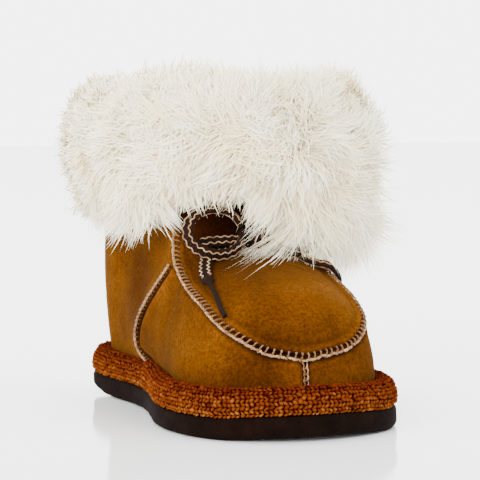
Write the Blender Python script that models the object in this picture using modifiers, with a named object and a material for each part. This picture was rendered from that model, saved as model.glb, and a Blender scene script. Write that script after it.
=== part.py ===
"""Baby wool slipper, left foot: a moccasin of suede on a foam-rubber sole.

The upper is one hollow shell worked out from the outline of the sole and a short
table of stations from toe to heel. The sheepskin cuff, the knitted welt, the insole
and the lace are worked out from the same outline and the same shell.

Frame: metres, +Z up, the toe towards -Y, and the inner (medial) side of the foot
towards -X. The origin is on the ground under the middle of the sole.
Lengths below are in millimetres; MM turns them into metres.
"""

import bpy
import numpy as np
from mathutils import Matrix

MM = 0.001

# ---------------------------------------------------------------- driving dimensions
SOLE_LENGTH = 125.0
SOLE_THICKNESS = 5.2
HEEL_ROCKER = 3.4          # how far the sole's underside rises at the back of the heel
HEEL_ROCKER_SHARE = 0.26   # share of the length over which it does
TOE_SPRING = 1.0
TOE_SPRING_SHARE = 0.09
UPPER_WALL = 2.4           # suede with its short wool lining
UPPER_INSET = 6.2          # the upper's foot, inside the edge of the sole
SEAM_HEIGHT = 1.2          # raised whip-stitched seam round the apron
SIDE_SEAM_HEIGHT = 0.96
SEAM_ROW = 2.3             # how far below the top line the apron seam's foot runs
ROWS_BELOW = 0.94          # the rows below that one, as a share of its height
SEAM_BESIDE = 0.1          # stations from the side seam's middle to its foot
TOE_BESIDE = 0.16          # and from the toe seam's middle
APRON_BESIDE = 0.085       # share across the apron from its seam to the seam's foot
SEAM_TOP = 56.0            # above this the cuff presses the seams flat
SIDE_SEAM_FOOT = 13.5      # below this the side seam goes behind the welt
TOE_CREASE = 0.6           # depth of the short seam at the toe
TOE_SWING = 2.5            # how far the toe turns to the inner side, in front of SWING_FROM
SWING_FROM = -46.0
SWING_TO = -54.8
WALL_LOW = 0.42            # heights of the wall's two Bezier handles, for its rise
WALL_HIGH = 0.34
SWEEP_LOW = 0.4            # share of the sweep that the lower handle takes
WALL_ROWS = (0.0, 0.1, 0.22, 0.36, 0.5, 0.64, 0.78, 0.9, 1.0)
ARCH_POWER = 2.3           # the apron's arch: higher is flatter in the middle
WELT_HEIGHT = 6.6
WELT_GAP = 0.65            # between the tape and the upper's wall
WELT_LUMP = 1.3            # extra height where the two ends of the tape meet
LUMP_REACH = 0.022         # half of its length, as a share of the side
LUMP_SHARE = 0.52          # place of the lump, toe 0 to heel 1 on the inner side
INSOLE_THICKNESS = 2.6
COLLAR_HEIGHT = 78.0
COLLAR_TOP = 78.6          # where the folded sheepskin lies over the collar
LACE_WIDTH = 3.4
LACE_THICKNESS = 1.5
LACE_STATION = 5.45        # the upper's station where the lace crosses the throat
LACE_LIFT = 1.2            # middle of the lace above the suede it lies on
KNOT_SIZE = (8.6, 5.6, 6.0)
KNOT_PLACE = (-1.0, -17.0, 46.6)
LOOP_WIDTH = 15.5
LOOP_HEIGHT = 12.0
LOOP_LEAN = 0.32           # backwards for each unit upwards
LOOP_GAP = 30.0            # degrees either side of the knot that the loop leaves open
LOOP_OFFSET = (10.4, 0.0, 1.0)
CLEARANCE = 0.3            # between pieces that touch

# The sole's outline: share of the length from the heel, and its half widths.
OUTLINE_ROWS = (
    # share, medial, lateral
    (0.000, 0.0, 0.0),
    (0.012, 9.0, 9.0),
    (0.050, 17.8, 17.8),
    (0.120, 22.6, 22.8),
    (0.200, 23.5, 24.0),
    (0.290, 23.0, 24.2),
    (0.380, 22.6, 24.4),
    (0.480, 23.8, 25.4),
    (0.580, 27.0, 27.4),
    (0.680, 30.2, 29.0),
    (0.770, 31.0, 28.8),
    (0.860, 29.0, 25.8),
    (0.930, 24.0, 19.4),
    (0.980, 15.0, 9.0),
    (1.000, 4.0, -4.0),
)

# Stations of the upper from the toe to the heel, the same on both sides. base_share is
# the place on the foot's outline, toe 0 to heel 1. half_width, y and z give the wall's
# top line: the apron seam up to the collar, then the collar. low_out and high_out push
# the wall outwards below and above its middle, and sweep pulls its middle backwards.
# crest_y and crest_z are the middle of the apron between the two seams.
STATIONS = {
    #               base_share, half_width, y, z, low_out, high_out, sweep, crest_y, crest_z
    "toe_seam":     (0.000, 0.0, -54.8, 18.8, 1.6, 0.8, 0.0, -54.8, 18.8),
    "toe_corner":   (0.090, 11.5, -51.0, 20.9, 1.8, 1.2, 0.0, -52.4, 26.4),
    "ball_front":   (0.190, 18.8, -43.0, 25.8, 2.2, 1.6, 0.0, -45.5, 32.2),
    "ball":         (0.290, 20.6, -33.0, 30.8, 2.4, 2.0, 0.0, -35.0, 36.2),
    "vamp":         (0.400, 20.6, -22.0, 34.8, 4.0, 2.4, 3.0, -24.5, 39.2),
    "side_seam":    (0.600, 19.4, -11.5, 40.2, 9.5, 3.0, 12.0, -15.0, 42.2),
    "throat":       (0.670, 17.4, -5.5, 47.0, 9.0, 1.6, 9.0, -9.5, 47.5),
    "shaft_front":  (0.730, 16.4, -0.5, 58.0, 8.5, 0.8, 5.0, -4.0, 58.0),
    "collar_front": (0.780, 16.2, 5.3, COLLAR_HEIGHT, 8.0, 0.4, 2.0, 0.0, COLLAR_HEIGHT),
    "collar_turn":  (0.830, 21.5, 12.8, COLLAR_HEIGHT, 8.0, 0.4, 0.0, 0.0, COLLAR_HEIGHT),
    "collar_side":  (0.880, 24.0, 26.5, COLLAR_HEIGHT, 8.5, 0.4, 0.0, 0.0, COLLAR_HEIGHT),
    "collar_back":  (0.945, 17.6, 45.8, COLLAR_HEIGHT, 7.2, 0.4, 0.0, 0.0, COLLAR_HEIGHT),
    "heel":         (1.000, 0.0, 52.4, COLLAR_HEIGHT, 4.0, 0.4, 0.0, 0.0, COLLAR_HEIGHT),
}
STATION_NAMES = list(STATIONS)
SEAM_STATION = STATION_NAMES.index("side_seam")
COLLAR_STATION = STATION_NAMES.index("collar_front")
HEEL_STATION = STATION_NAMES.index("heel")

SHAFT_MIDDLE = (-1.0, 26.0)

# The wool of the folded cuff: a ring round its own middle, further out than the shaft
# at the front and on the outer side. spread is a share of WOOL_RADIUS, and least is how
# far the wool stands out from the shaft where that ring would come too close.
WOOL_MIDDLE = (4.0, 18.0)
WOOL_RADIUS = 41.5
LINING_GAP = 1.3           # between the shaft's inside and the sheepskin folded into it
HEM_HEIGHT = 50.5
HEM_RISE = 4.4             # how much higher the hem is over the bow
WAVE_HEIGHT = 0.6          # the ring's shallow tufts
WAVE_COUNT = 12
WOOL_ROWS = (
    # spread, least, z
    (0.62, 1.0, 86.0),
    (0.78, 5.5, 85.8),
    (0.90, 9.0, 81.5),
    (0.97, 11.0, 75.5),
    (1.00, 12.0, 68.5),
    (0.99, 11.5, 61.5),
    (0.95, 10.0, 55.5),
    (0.87, 7.5, 51.0),
)

# Locks of wool in rows round the cuff: where they grow, first and last angle round the
# shaft (0 in front, 90 on the outer side), their number, length and half width, and
# their direction outwards and upwards. The fringe hangs in front of the outer loop.
LOCK_ROWS = {
    #          spread, least, z, first, last, count, length, half_width, out, up
    "crown":  (0.72, 4.0, 84.0, -180.0, 147.0, 11, 10.0, 5.4, 0.95, 0.25),
    "upper":  (0.95, 10.0, 78.5, -168.0, 168.0, 14, 13.5, 5.8, 0.42, -0.90),
    "middle": (1.00, 11.5, 68.5, -180.0, 154.0, 14, 14.0, 5.8, 0.27, -0.95),
    "hem":    (0.94, 8.5, 57.5, 92.0, 292.0, 13, 12.5, 5.2, 0.10, -1.00),
    "brow":   (0.99, 10.0, 61.0, -60.0, 0.0, 4, 7.5, 4.6, 0.24, -0.95),
    "fringe": (1.00, 10.0, 59.5, 14.0, 78.0, 6, 14.5, 4.6, 0.08, -1.00),
}
LOCK_SUNK = 2.6            # how deep a lock's root sits in the ring
LOCK_PROFILE = ((0.0, 0.55), (0.38, 1.0), (0.72, 0.66))   # share of length, of width
LOCK_SIDES = 5
LOCK_FLATNESS = 0.46       # thickness for its width
LOCK_DROOP = 0.12          # how far the tip sinks for its length
LOCK_BEND = 2.5            # most the tip goes to one side


# The inner end of the lace lies on the apron beside the inner seam.
INNER_END_ROUTE = (
    # u, w, lift
    (4.47, 0.160, 1.10),
    (4.00, 0.122, 1.15),
    (3.50, 0.104, 1.20),
    (3.00, 0.092, 1.40),
    (2.55, 0.082, 1.60),
    (2.10, 0.074, 1.80),
)

# The outer end crosses the outer seam and hangs down the outer wall, under the wool.
OUTER_END_ON_APRON = (
    # u, w, lift
    (4.47, 0.840, 1.10),
    (4.32, 0.890, 1.85),
    (4.22, 0.950, 2.90),
)
OUTER_END_ON_WALL = (
    # u, v, lift
    (4.20, 0.960, 3.00),
    (4.18, 0.860, 2.30),
    (4.18, 0.740, 1.60),
    (4.18, 0.620, 1.30),
    (4.18, 0.500, 1.20),
)


# ---------------------------------------------------------------- curves and outlines
def spline(points, places, closed=False):
    """Catmull-Rom curve: a smooth curve through the points, read at the places.

    A place is a point's number, and halfway places lie between two points.
    """
    points = np.asarray(points, float)
    count = len(points)
    places = np.asarray(places, float)
    left = np.floor(places).astype(int)
    if closed:
        picks = [points[(left + k) % count] for k in (-1, 0, 1, 2)]
    else:
        left = np.clip(left, 0, count - 2)
        padded = np.concatenate([[2 * points[0] - points[1]], points,
                                 [2 * points[-1] - points[-2]]])
        picks = [padded[left + k] for k in (0, 1, 2, 3)]
    before, here, there, after = picks
    t = (places - left)[..., None]
    return 0.5 * (2 * here + (there - before) * t
                  + (2 * before - 5 * here + 4 * there - after) * t ** 2
                  + (3 * here - before - 3 * there + after) * t ** 3)


def smooth_step(value):
    """0 below 0, 1 above 1, and a smooth S between."""
    value = np.clip(value, 0.0, 1.0)
    return value * value * (3.0 - 2.0 * value)


def unit(vectors):
    """The vectors with length 1."""
    return vectors / np.linalg.norm(vectors, axis=-1, keepdims=True)


def outline_sides(inset):
    """Inner and outer side of the sole's outline, moved inwards, from toe to heel.

    The rows become one closed spline, and each point moves along its own normal.
    """
    rows = np.array(OUTLINE_ROWS)
    y = SOLE_LENGTH * (0.5 - rows[:, 0])
    medial = np.stack([-rows[:, 1], y], axis=1)
    lateral = np.stack([rows[:, 2], y], axis=1)
    loop = np.concatenate([medial, lateral[-2:0:-1]])
    toe = len(medial) - 1
    steps = 16
    curve = spline(loop, np.arange(len(loop) * steps) / steps, closed=True)
    along = unit(np.roll(curve, -1, axis=0) - np.roll(curve, 1, axis=0))
    inwards = np.stack([along[:, 1], -along[:, 0]], axis=1)
    curve = curve + inset * inwards * np.sign(-np.sum(inwards * curve))
    medial_side = curve[toe * steps::-1]
    lateral_side = np.concatenate([curve[toe * steps:], curve[:1]])
    return medial_side, lateral_side


def on_outline(side, inset, shares):
    """Points on one side of the outline, side -1 inner or +1 outer, by share of its length."""
    curve = outline_sides(inset)[0 if side < 0 else 1]
    steps = np.linalg.norm(np.diff(curve, axis=0), axis=1)
    place = np.concatenate([[0.0], np.cumsum(steps)]) / steps.sum()
    return np.stack([np.interp(shares, place, curve[:, k]) for k in (0, 1)], axis=-1)


def outline_loop(inset, count):
    """Closed loop of count points: the inner side from toe to heel, then the outer side back."""
    shares = np.linspace(0.0, 1.0, count // 2 + 1)
    medial = on_outline(-1, inset, shares)
    lateral = on_outline(+1, inset, shares)
    return np.concatenate([medial, lateral[-2:0:-1]])


def ground_gap(y):
    """Height of the sole's underside: flat, with the heel's rocker and the toe spring."""
    share = 0.5 - y / SOLE_LENGTH
    heel = HEEL_ROCKER * smooth_step(1.0 - share / HEEL_ROCKER_SHARE)
    toe = TOE_SPRING * smooth_step((share - 1.0) / TOE_SPRING_SHARE + 1.0)
    return heel + toe


def deck(y):
    """Height of the sole's top: flat, and raised a little at the toe and the heel."""
    share = 0.5 - y / SOLE_LENGTH
    heel = 0.15 * HEEL_ROCKER * smooth_step(1.0 - share / HEEL_ROCKER_SHARE)
    toe = TOE_SPRING * smooth_step((share - 1.0) / TOE_SPRING_SHARE + 1.0)
    return SOLE_THICKNESS + heel + toe


# ---------------------------------------------------------------- the upper's surface
def station_values(u):
    """The station table read between its rows: u is a station's number."""
    return spline(np.array(list(STATIONS.values())), u)


def foot_axis(y):
    """x of the slipper's middle line, which swings to the inner side at the toe."""
    share = np.clip((y - SWING_FROM) / (SWING_TO - SWING_FROM), 0.0, 1.0)
    return SHAFT_MIDDLE[0] - TOE_SWING * share ** 2


def side_wall(side, u, v):
    """Point on the outside of one side wall.

    Each station is a Bezier curve from the sole (v = 0) to the top line (v = 1): it
    leaves the sole upright, pushed out by low_out, and arrives upright, pushed out by
    high_out. u runs from the toe seam to the heel.
    """
    row = station_values(u)
    share, half_width, y, z, low_out, high_out, sweep = np.moveaxis(row[..., :7], -1, 0)
    z = np.minimum(z, COLLAR_HEIGHT)
    foot = on_outline(side, UPPER_INSET, np.clip(share, 0.0, 1.0))
    outwards = unit(on_outline(side, 0.0, np.clip(share, 0.0, 1.0)) - foot)
    floor = deck(foot[..., 1]) + CLEARANCE
    start = np.stack([foot[..., 0], foot[..., 1], floor], axis=-1)
    end = np.stack([foot_axis(y) + side * half_width, y, z], axis=-1)
    flat = np.zeros_like(z)
    push = np.stack([outwards[..., 0], outwards[..., 1], flat], axis=-1)
    rise = np.stack([flat, flat, z - floor], axis=-1)
    back = np.stack([flat, sweep, flat], axis=-1)
    low = start + push * low_out[..., None] + WALL_LOW * rise + SWEEP_LOW * back
    high = end + push * high_out[..., None] - WALL_HIGH * rise + back
    v = v[..., None]
    return ((1 - v) ** 3 * start + 3 * v * (1 - v) ** 2 * low
            + 3 * v ** 2 * (1 - v) * high + v ** 3 * end)


def apron(u, w):
    """Point on the apron between the inner seam (w = 0) and the outer seam (w = 1).

    Each row is a straight chord between the seams, lifted to the crest by a rounded
    arch that is steep beside the seams and flat in the middle.
    """
    top = np.ones_like(u)
    medial = side_wall(-1, u, top)
    lateral = side_wall(+1, u, top)
    row = station_values(u)
    crest_y = row[..., 7]
    crest_z = np.minimum(row[..., 8], COLLAR_HEIGHT)
    crest = np.stack([foot_axis(crest_y), crest_y, crest_z], axis=-1)
    arch = 1.0 - np.abs(2.0 * w - 1.0) ** ARCH_POWER
    chord = medial + (lateral - medial) * w[..., None]
    return chord + (crest - 0.5 * (medial + lateral)) * arch[..., None]


def wall_line(side, u, height):
    """Points on one side wall at a height, one for each place u."""
    steps = np.linspace(0.0, 1.0, 41)
    grid_u, grid_v = np.meshgrid(u, steps, indexing="ij")
    columns = side_wall(side, grid_u, grid_v)
    height = np.broadcast_to(height, len(u))
    points = [[np.interp(level, column[:, 2], column[:, k]) for k in (0, 1, 2)]
              for column, level in zip(columns, height)]
    return np.array(points)


def shaft_radius(height, angles):
    """Radius of the upper's shaft at a height, round the shaft's middle.

    Points of both walls and of the apron at that height are turned into an angle, 0 in
    front, and a radius, which is read at the angles.
    """
    level = min(height, COLLAR_HEIGHT)
    u = np.linspace(SEAM_STATION, HEEL_STATION, 90)
    above = u[station_values(u)[:, 3] >= level - 0.01]
    found = [wall_line(side, above, level) for side in (-1, 1)]
    places = np.linspace(SEAM_STATION, COLLAR_STATION, 60)
    for w in np.linspace(0.04, 0.96, 15):
        line = apron(places, np.full(60, w))
        found.append([[np.interp(level, line[:, 2], line[:, k]) for k in (0, 1, 2)]])
    found = np.concatenate(found)
    x, y = found[:, 0] - SHAFT_MIDDLE[0], found[:, 1] - SHAFT_MIDDLE[1]
    turn = np.arctan2(x, -y)
    order = np.argsort(turn)
    return np.interp(angles, turn[order], np.hypot(x, y)[order], period=2 * np.pi)


# ---------------------------------------------------------------- meshes
def clear_scene():
    """Remove the scene's objects."""
    for item in list(bpy.data.objects):
        bpy.data.objects.remove(item, do_unlink=True)


def make_material(name, color, roughness):
    """A plain Principled material."""
    material = bpy.data.materials.new(name)
    material.use_nodes = True
    shader = material.node_tree.nodes["Principled BSDF"]
    shader.inputs["Base Color"].default_value = (*color, 1.0)
    shader.inputs["Roughness"].default_value = roughness
    shader.inputs["Metallic"].default_value = 0.0
    return material


def make_object(name, points, faces, material, collection):
    """A named object from points in millimetres and faces."""
    mesh = bpy.data.meshes.new(name)
    mesh.from_pydata((np.asarray(points) * MM).tolist(), [], [list(f) for f in faces])
    mesh.update()
    mesh.shade_smooth()
    mesh.materials.append(material)
    item = bpy.data.objects.new(name, mesh)
    collection.objects.link(item)
    return item


def ring_faces(first, second):
    """Quads between two closed loops of point numbers, the first inside or below."""
    count = len(first)
    return [(second[k], second[(k + 1) % count], first[(k + 1) % count], first[k])
            for k in range(count)]


def loft(loops, closed_section=False):
    """Points and faces of a surface through equal closed loops of points."""
    loops = np.asarray(loops)
    rows, count = loops.shape[:2]
    numbers = np.arange(rows * count).reshape(rows, count)
    faces = []
    for row in range(rows if closed_section else rows - 1):
        faces += ring_faces(numbers[row], numbers[(row + 1) % rows])
    return loops.reshape(-1, 3), faces, numbers


def cap_faces(loop, upwards):
    """Strips across a loop that runs up one side and back down the other."""
    count = len(loop)
    half = count // 2
    faces = []
    for k in range(half):
        strip = [loop[k], loop[k + 1], loop[half + (half - k - 1)], loop[(count - k) % count]]
        strip = list(dict.fromkeys(strip))
        faces.append(strip[::-1] if upwards else strip)
    return faces


def build_slab(name, sections, count, material, collection):
    """A closed slab of the sole's outline: sections are rows of inset and height function."""
    loops = []
    for inset, height in sections:
        loop = outline_loop(inset, count)
        loops.append(np.column_stack([loop, height(loop[:, 1])]))
    points, faces, numbers = loft(loops)
    faces += cap_faces(numbers[0], upwards=False)
    faces += cap_faces(numbers[-1], upwards=True)
    return make_object(name, points, faces, material, collection)


# ---------------------------------------------------------------- the pieces
def build_outsole(material, collection):
    """Foam-rubber slab: rounded bottom edge, upright side, small chamfer at the top."""
    sections = (
        (2.4, ground_gap),
        (0.7, lambda y: ground_gap(y) + 0.5),
        (0.0, lambda y: ground_gap(y) + 0.40 * (deck(y) - ground_gap(y))),
        (0.0, lambda y: deck(y) - 0.7),
        (0.6, deck),
    )
    return build_slab("outsole", sections, 60, material, collection)


def build_insole(material, collection):
    """Thin pad that fills the inside of the upper on top of the sole."""
    reach = UPPER_INSET + UPPER_WALL + 0.8
    sections = (
        (reach + 0.2, lambda y: deck(y) + CLEARANCE),
        (reach, lambda y: deck(y) + CLEARANCE + 0.8),
        (reach, lambda y: deck(y) + INSOLE_THICKNESS - 0.5),
        (reach + 1.2, lambda y: deck(y) + INSOLE_THICKNESS),
    )
    return build_slab("insole", sections, 36, material, collection)


def build_welt(material, collection):
    """Knitted tape rolled round the edge, between the sole's rim and the upper's wall.

    Its outer lines are insets of the sole's outline, kept outside the upper, and its
    inner lines lie on the upper's own surface. The lump is where the tape's ends meet.
    """
    u = np.linspace(0.0, HEEL_STATION, 35)
    shares = np.clip(station_values(u)[:, 0], 0.0, 1.0)
    # inset from the sole's edge, and height as a share of the welt's, round the section
    lines = ((1.2, 0.0), (0.25, 0.22), (0.35, 0.52), (1.3, 0.82), (2.7, 0.98),
             (UPPER_INSET, 0.86), (UPPER_INSET, 0.45), (UPPER_INSET, 0.0))
    loops = []
    for number, (inset, share) in enumerate(lines):
        halves = {}
        for side in (-1, 1):
            edge = on_outline(side, 0.0, shares)
            foot = on_outline(side, UPPER_INSET, shares)
            out = unit(edge - foot)
            lump = WELT_LUMP * np.exp(-((shares - LUMP_SHARE) / LUMP_REACH) ** 2) * (side < 0)
            outer = number < 5
            line = edge - out * inset
            height = deck(line[:, 1]) + CLEARANCE + share * (WELT_HEIGHT + lump * outer)
            wall = wall_line(side, u, height)[:, :2] + out * WELT_GAP
            room = 0.15 * (5 - number) * outer
            reach = np.maximum(np.sum((wall - edge) * out, axis=1) + room, -inset)
            place = edge + out * (reach + 0.5 * lump * outer)[:, None]
            halves[side] = np.column_stack([place, height])
        loops.append(np.concatenate([halves[-1], halves[1][-2:0:-1]]))
    points, faces, _ = loft(loops, closed_section=True)
    return make_object("welt_braid", points, faces, material, collection)


def upper_columns():
    """Places of the upper's columns: three to a station, and close ones at the seams."""
    even = np.arange(0, HEEL_STATION * 3 + 1) / 3.0
    beside = [SEAM_STATION - SEAM_BESIDE, SEAM_STATION + SEAM_BESIDE, TOE_BESIDE]
    return np.unique(np.round(np.concatenate([even, beside]), 4))


def raise_along(points, lift):
    """Move grid points by lift along the grid's own outward normal (rows, columns, 3)."""
    across = np.gradient(points, axis=1)
    up = np.gradient(points, axis=0)
    normal = unit(np.cross(across, up) + 1e-9)
    return points + normal * lift[..., None]


def build_upper(material, collection):
    """Hollow shell: two side walls and the apron, thickened inwards by Solidify."""
    u = upper_columns()
    heights = np.array(WALL_ROWS)
    last = len(u) - 1
    collar = int(np.argmin(np.abs(u - COLLAR_STATION)))
    seam = int(np.argmin(np.abs(u - SEAM_STATION)))
    walls = []
    for side in (-1, 1):
        grid_u, grid_v = np.meshgrid(u, heights)
        rise = side_wall(side, grid_u, np.ones_like(grid_v))[..., 2] - SOLE_THICKNESS
        # one row runs at the foot of the raised apron seam
        foot_row = 1.0 - SEAM_ROW / rise[0]
        below = grid_v[:-1] * foot_row * ROWS_BELOW
        grid_v = np.concatenate([below, [foot_row], grid_v[-1:]])
        grid_u = np.concatenate([grid_u, grid_u[:1]])
        wall = side_wall(side, grid_u, grid_v)
        lift = np.zeros(grid_u.shape)
        lift[-1, :collar] = SEAM_HEIGHT * (wall[-1, :collar, 2] < SEAM_TOP)
        lift[1:-1, seam] = SIDE_SEAM_HEIGHT * (wall[1:-1, seam, 2] > SIDE_SEAM_FOOT)
        lift[1:-1, 0] = -TOE_CREASE
        walls.append(raise_along(wall, lift if side > 0 else -lift))
    medial, lateral = walls
    # the two walls share their first and last columns, the toe seam and the heel
    for end in (0, -1):
        medial[:, end] = 0.5 * (medial[:, end] + lateral[:, end])
    rows = medial.shape[0]

    # numbers: the inner wall's grid, then the outer wall's without the toe and heel columns
    points = [medial.reshape(-1, 3), lateral[:, 1:-1].reshape(-1, 3)]
    medial_at = np.arange(rows * (last + 1)).reshape(rows, last + 1)
    inner = np.arange(rows * (last - 1)).reshape(rows, last - 1) + medial_at.size
    lateral_at = np.concatenate([medial_at[:, :1], inner, medial_at[:, -1:]], axis=1)
    count = medial_at.size + inner.size
    faces = []
    for numbers, flip in ((medial_at, True), (lateral_at, False)):
        for row in range(rows - 1):
            for k in range(last):
                face = (numbers[row, k], numbers[row, k + 1], numbers[row + 1, k + 1],
                        numbers[row + 1, k])
                faces.append(face[::-1] if flip else face)

    # the apron: its rows join the two top lines, from the toe's tip to the collar
    across = np.array([APRON_BESIDE, 0.18, 0.34, 0.5, 0.66, 0.82, 1.0 - APRON_BESIDE])
    apron_at = np.zeros((collar + 1, len(across) + 2), int)
    apron_at[:, 0] = medial_at[-1, :collar + 1]
    apron_at[:, -1] = lateral_at[-1, :collar + 1]
    apron_at[0, :] = medial_at[-1, 0]
    grid_u, grid_w = np.meshgrid(u[1:collar + 1], across, indexing="ij")
    points.append(apron(grid_u, grid_w).reshape(-1, 3))
    apron_at[1:, 1:-1] = np.arange(grid_u.size).reshape(grid_u.shape) + count
    for k in range(collar):
        for m in range(apron_at.shape[1] - 1):
            face = (apron_at[k, m], apron_at[k, m + 1], apron_at[k + 1, m + 1], apron_at[k + 1, m])
            faces.append(tuple(dict.fromkeys(face)))
    faces = [face for face in faces if len(face) > 2]

    item = make_object("upper", np.concatenate(points), faces, material, collection)
    wall = item.modifiers.new("wall", "SOLIDIFY")
    wall.thickness = UPPER_WALL * MM
    wall.offset = -1.0
    wall.use_even_offset = False
    wall.use_quality_normals = True
    return item


def shaft_place(radius, angles):
    """x and y of points at a radius and an angle round the shaft's middle, 0 in front."""
    return (SHAFT_MIDDLE[0] + radius * np.sin(angles),
            SHAFT_MIDDLE[1] - radius * np.cos(angles))


def wool_radius(spread, least, z, angles):
    """Distance of the wool's surface from the shaft's middle.

    The wool is a circle round its own middle, and a smooth maximum keeps it at least
    the given distance outside the shaft.
    """
    east = WOOL_MIDDLE[0] - SHAFT_MIDDLE[0]
    north = WOOL_MIDDLE[1] - SHAFT_MIDDLE[1]
    along = east * np.sin(angles) - north * np.cos(angles)
    across = east * np.cos(angles) + north * np.sin(angles)
    circle = along + np.sqrt((WOOL_RADIUS * spread) ** 2 - across ** 2)
    shaft = shaft_radius(z, angles) + least
    return 0.5 * (circle + shaft + np.hypot(circle - shaft, 1.5))


def hem_height(angles):
    """Height of the cuff's hem: level round the back, and higher over the bow in front."""
    return HEM_HEIGHT + HEM_RISE * np.exp(-(angles / 0.95) ** 4)


def lock_shape(root, direction, length, half_width, bend):
    """Points and faces of one lock: a flat pointed leaf that droops and bends sideways."""
    shares, profile = np.array(LOCK_PROFILE).T
    turn = np.arange(LOCK_SIDES) * 2.0 * np.pi / LOCK_SIDES
    across = unit(np.cross(direction, (0.0, 0.0, 1.0)))
    depth = np.cross(across, direction)
    drop = np.array([0.0, 0.0, -LOCK_DROOP * length])
    middle = (root + np.outer(shares, direction) * length
              + np.outer(shares ** 2, drop + across * bend))
    width = half_width * profile
    rings = (middle[:, None, :]
             + width[:, None, None] * np.cos(turn)[None, :, None] * across
             + LOCK_FLATNESS * width[:, None, None] * np.sin(turn)[None, :, None] * depth)
    tip = root + direction * length + drop + across * bend
    points = np.concatenate([rings.reshape(-1, 3), [tip]])
    numbers = np.arange(rings.shape[0] * LOCK_SIDES).reshape(-1, LOCK_SIDES)
    faces = [tuple(numbers[0][::-1])]
    for first, second in zip(numbers[:-1], numbers[1:]):
        faces += ring_faces(second, first)
    last = numbers[-1]
    faces += [(last[k], last[(k + 1) % LOCK_SIDES], len(points) - 1)
              for k in range(LOCK_SIDES)]
    return points, faces


def build_locks(material, cutters):
    """All locks as one object, which the cuff's Boolean fuses on."""
    random = np.random.default_rng(7)
    points, faces, total = [], [], 0
    for row in LOCK_ROWS.values():
        spread, least, z, first, last, count, length, half_width, out, up = row
        for turn in np.linspace(first, last, count):
            angle = np.radians(turn) + random.uniform(-0.05, 0.05)
            angle = np.array([(angle + np.pi) % (2.0 * np.pi) - np.pi])
            radius = wool_radius(spread, least, z, angle) - LOCK_SUNK
            x, y = shaft_place(radius, angle)
            root = np.concatenate([x, y, [z]])
            direction = unit(np.array([np.sin(angle[0]) * out, -np.cos(angle[0]) * out, up]))
            reach = length * random.uniform(0.85, 1.15)
            bend = random.uniform(-LOCK_BEND, LOCK_BEND)
            horn, horn_faces = lock_shape(root, direction, reach, half_width, bend)
            points.append(horn)
            faces += [tuple(int(n) + total for n in face) for face in horn_faces]
            total += len(horn)
    locks = make_object("wool_locks", np.concatenate(points), faces, material, cutters)
    locks.hide_render = True
    locks.display_type = "WIRE"
    return locks


def build_cuff(material, collection, cutters):
    """Folded sheepskin: a ring over the collar, with locks of wool fused on."""
    count = 48
    angles = np.linspace(-np.pi, np.pi, count, endpoint=False)
    hem = hem_height(angles)
    inside = -(UPPER_WALL + LINING_GAP)
    # height on the shaft, distance from its outside, and height of the loop
    lining = (
        (56.0, 2.3, 56.0),
        (62.0, 1.9, 62.0),
        (70.0, 1.6, 70.0),
        (COLLAR_HEIGHT, 1.2, COLLAR_TOP),
        (COLLAR_HEIGHT, inside + 0.3, COLLAR_TOP),
        (70.0, inside, 70.0),
        (64.0, inside, 64.0),
        (64.0, inside - 3.2, 62.8),
        (70.0, inside - 5.4, 70.0),
        (COLLAR_HEIGHT, inside - 5.0, 79.0),
        (COLLAR_HEIGHT, inside - 1.5, 85.0),
    )
    loops = []
    for level, offset, z in lining:
        x, y = shaft_place(shaft_radius(level, angles) + offset, angles)
        loops.append(np.column_stack([x, y, np.full(count, z)]))
    for number, (spread, least, z) in enumerate(WOOL_ROWS):
        drop = np.clip((number - 4) / 3.0, 0.0, 1.0) * (HEM_HEIGHT - hem)
        wave = WAVE_HEIGHT * np.cos(angles * WAVE_COUNT + number * np.pi) * (number > 0)
        x, y = shaft_place(wool_radius(spread, least, z, angles) + wave, angles)
        loops.append(np.column_stack([x, y, z - drop]))
    shaft = shaft_radius(52.0, angles) + 2.4
    under = 0.85 * wool_radius(0.82, 6.5, 51.0, angles) + 0.15 * shaft
    loops.append(np.column_stack([*shaft_place(under, angles), hem]))
    loops.append(np.column_stack([*shaft_place(shaft, angles), np.maximum(hem, 51.5) + 0.5]))
    points, faces, _ = loft(loops, closed_section=True)
    cuff = make_object("cuff", points, faces, material, collection)
    fuse = cuff.modifiers.new("fused_locks", "BOOLEAN")
    fuse.operation = "UNION"
    fuse.solver = "EXACT"
    fuse.use_self = True
    fuse.object = build_locks(material, cutters)
    return cuff


def on_apron(u, w, lift):
    """Point above the apron and the apron's normal there."""
    u, w, lift = (np.asarray(value, float) for value in (u, w, lift))
    step = 0.02
    along = apron(u + step, w) - apron(u - step, w)
    across = apron(u, w + step) - apron(u, w - step)
    normal = unit(np.cross(across, along))
    return apron(u, w) + normal * lift[..., None], normal


def on_wall(side, u, v, lift):
    """Point outside a side wall and the wall's normal there."""
    step = 0.02
    along = side_wall(side, u + step, v) - side_wall(side, u - step, v)
    up = side_wall(side, u, v + step) - side_wall(side, u, v - step)
    normal = unit(side * np.cross(along, up))
    return side_wall(side, u, v) + normal * lift[..., None], normal


def band(name, path, normals, material, collection):
    """Flat braid along a path: a rounded flat section whose flat side faces the normals."""
    path = np.asarray(path)
    along = unit(np.gradient(path, axis=0))
    across = unit(np.cross(along, normals))
    facing = unit(np.cross(across, along))
    half_width, half_height = 0.5 * LACE_WIDTH, 0.5 * LACE_THICKNESS
    section = ((1.0, 0.0), (0.72, 1.0), (-0.72, 1.0), (-1.0, 0.0), (-0.72, -1.0), (0.72, -1.0))
    offsets = [across * half_width * a + facing * half_height * b for a, b in section]
    loops = path[:, None, :] + np.stack(offsets, axis=1)
    points, faces, numbers = loft(loops)
    faces.append(tuple(numbers[0]))
    faces.append(tuple(numbers[-1][::-1]))
    return make_object(name, points, faces, material, collection)


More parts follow.
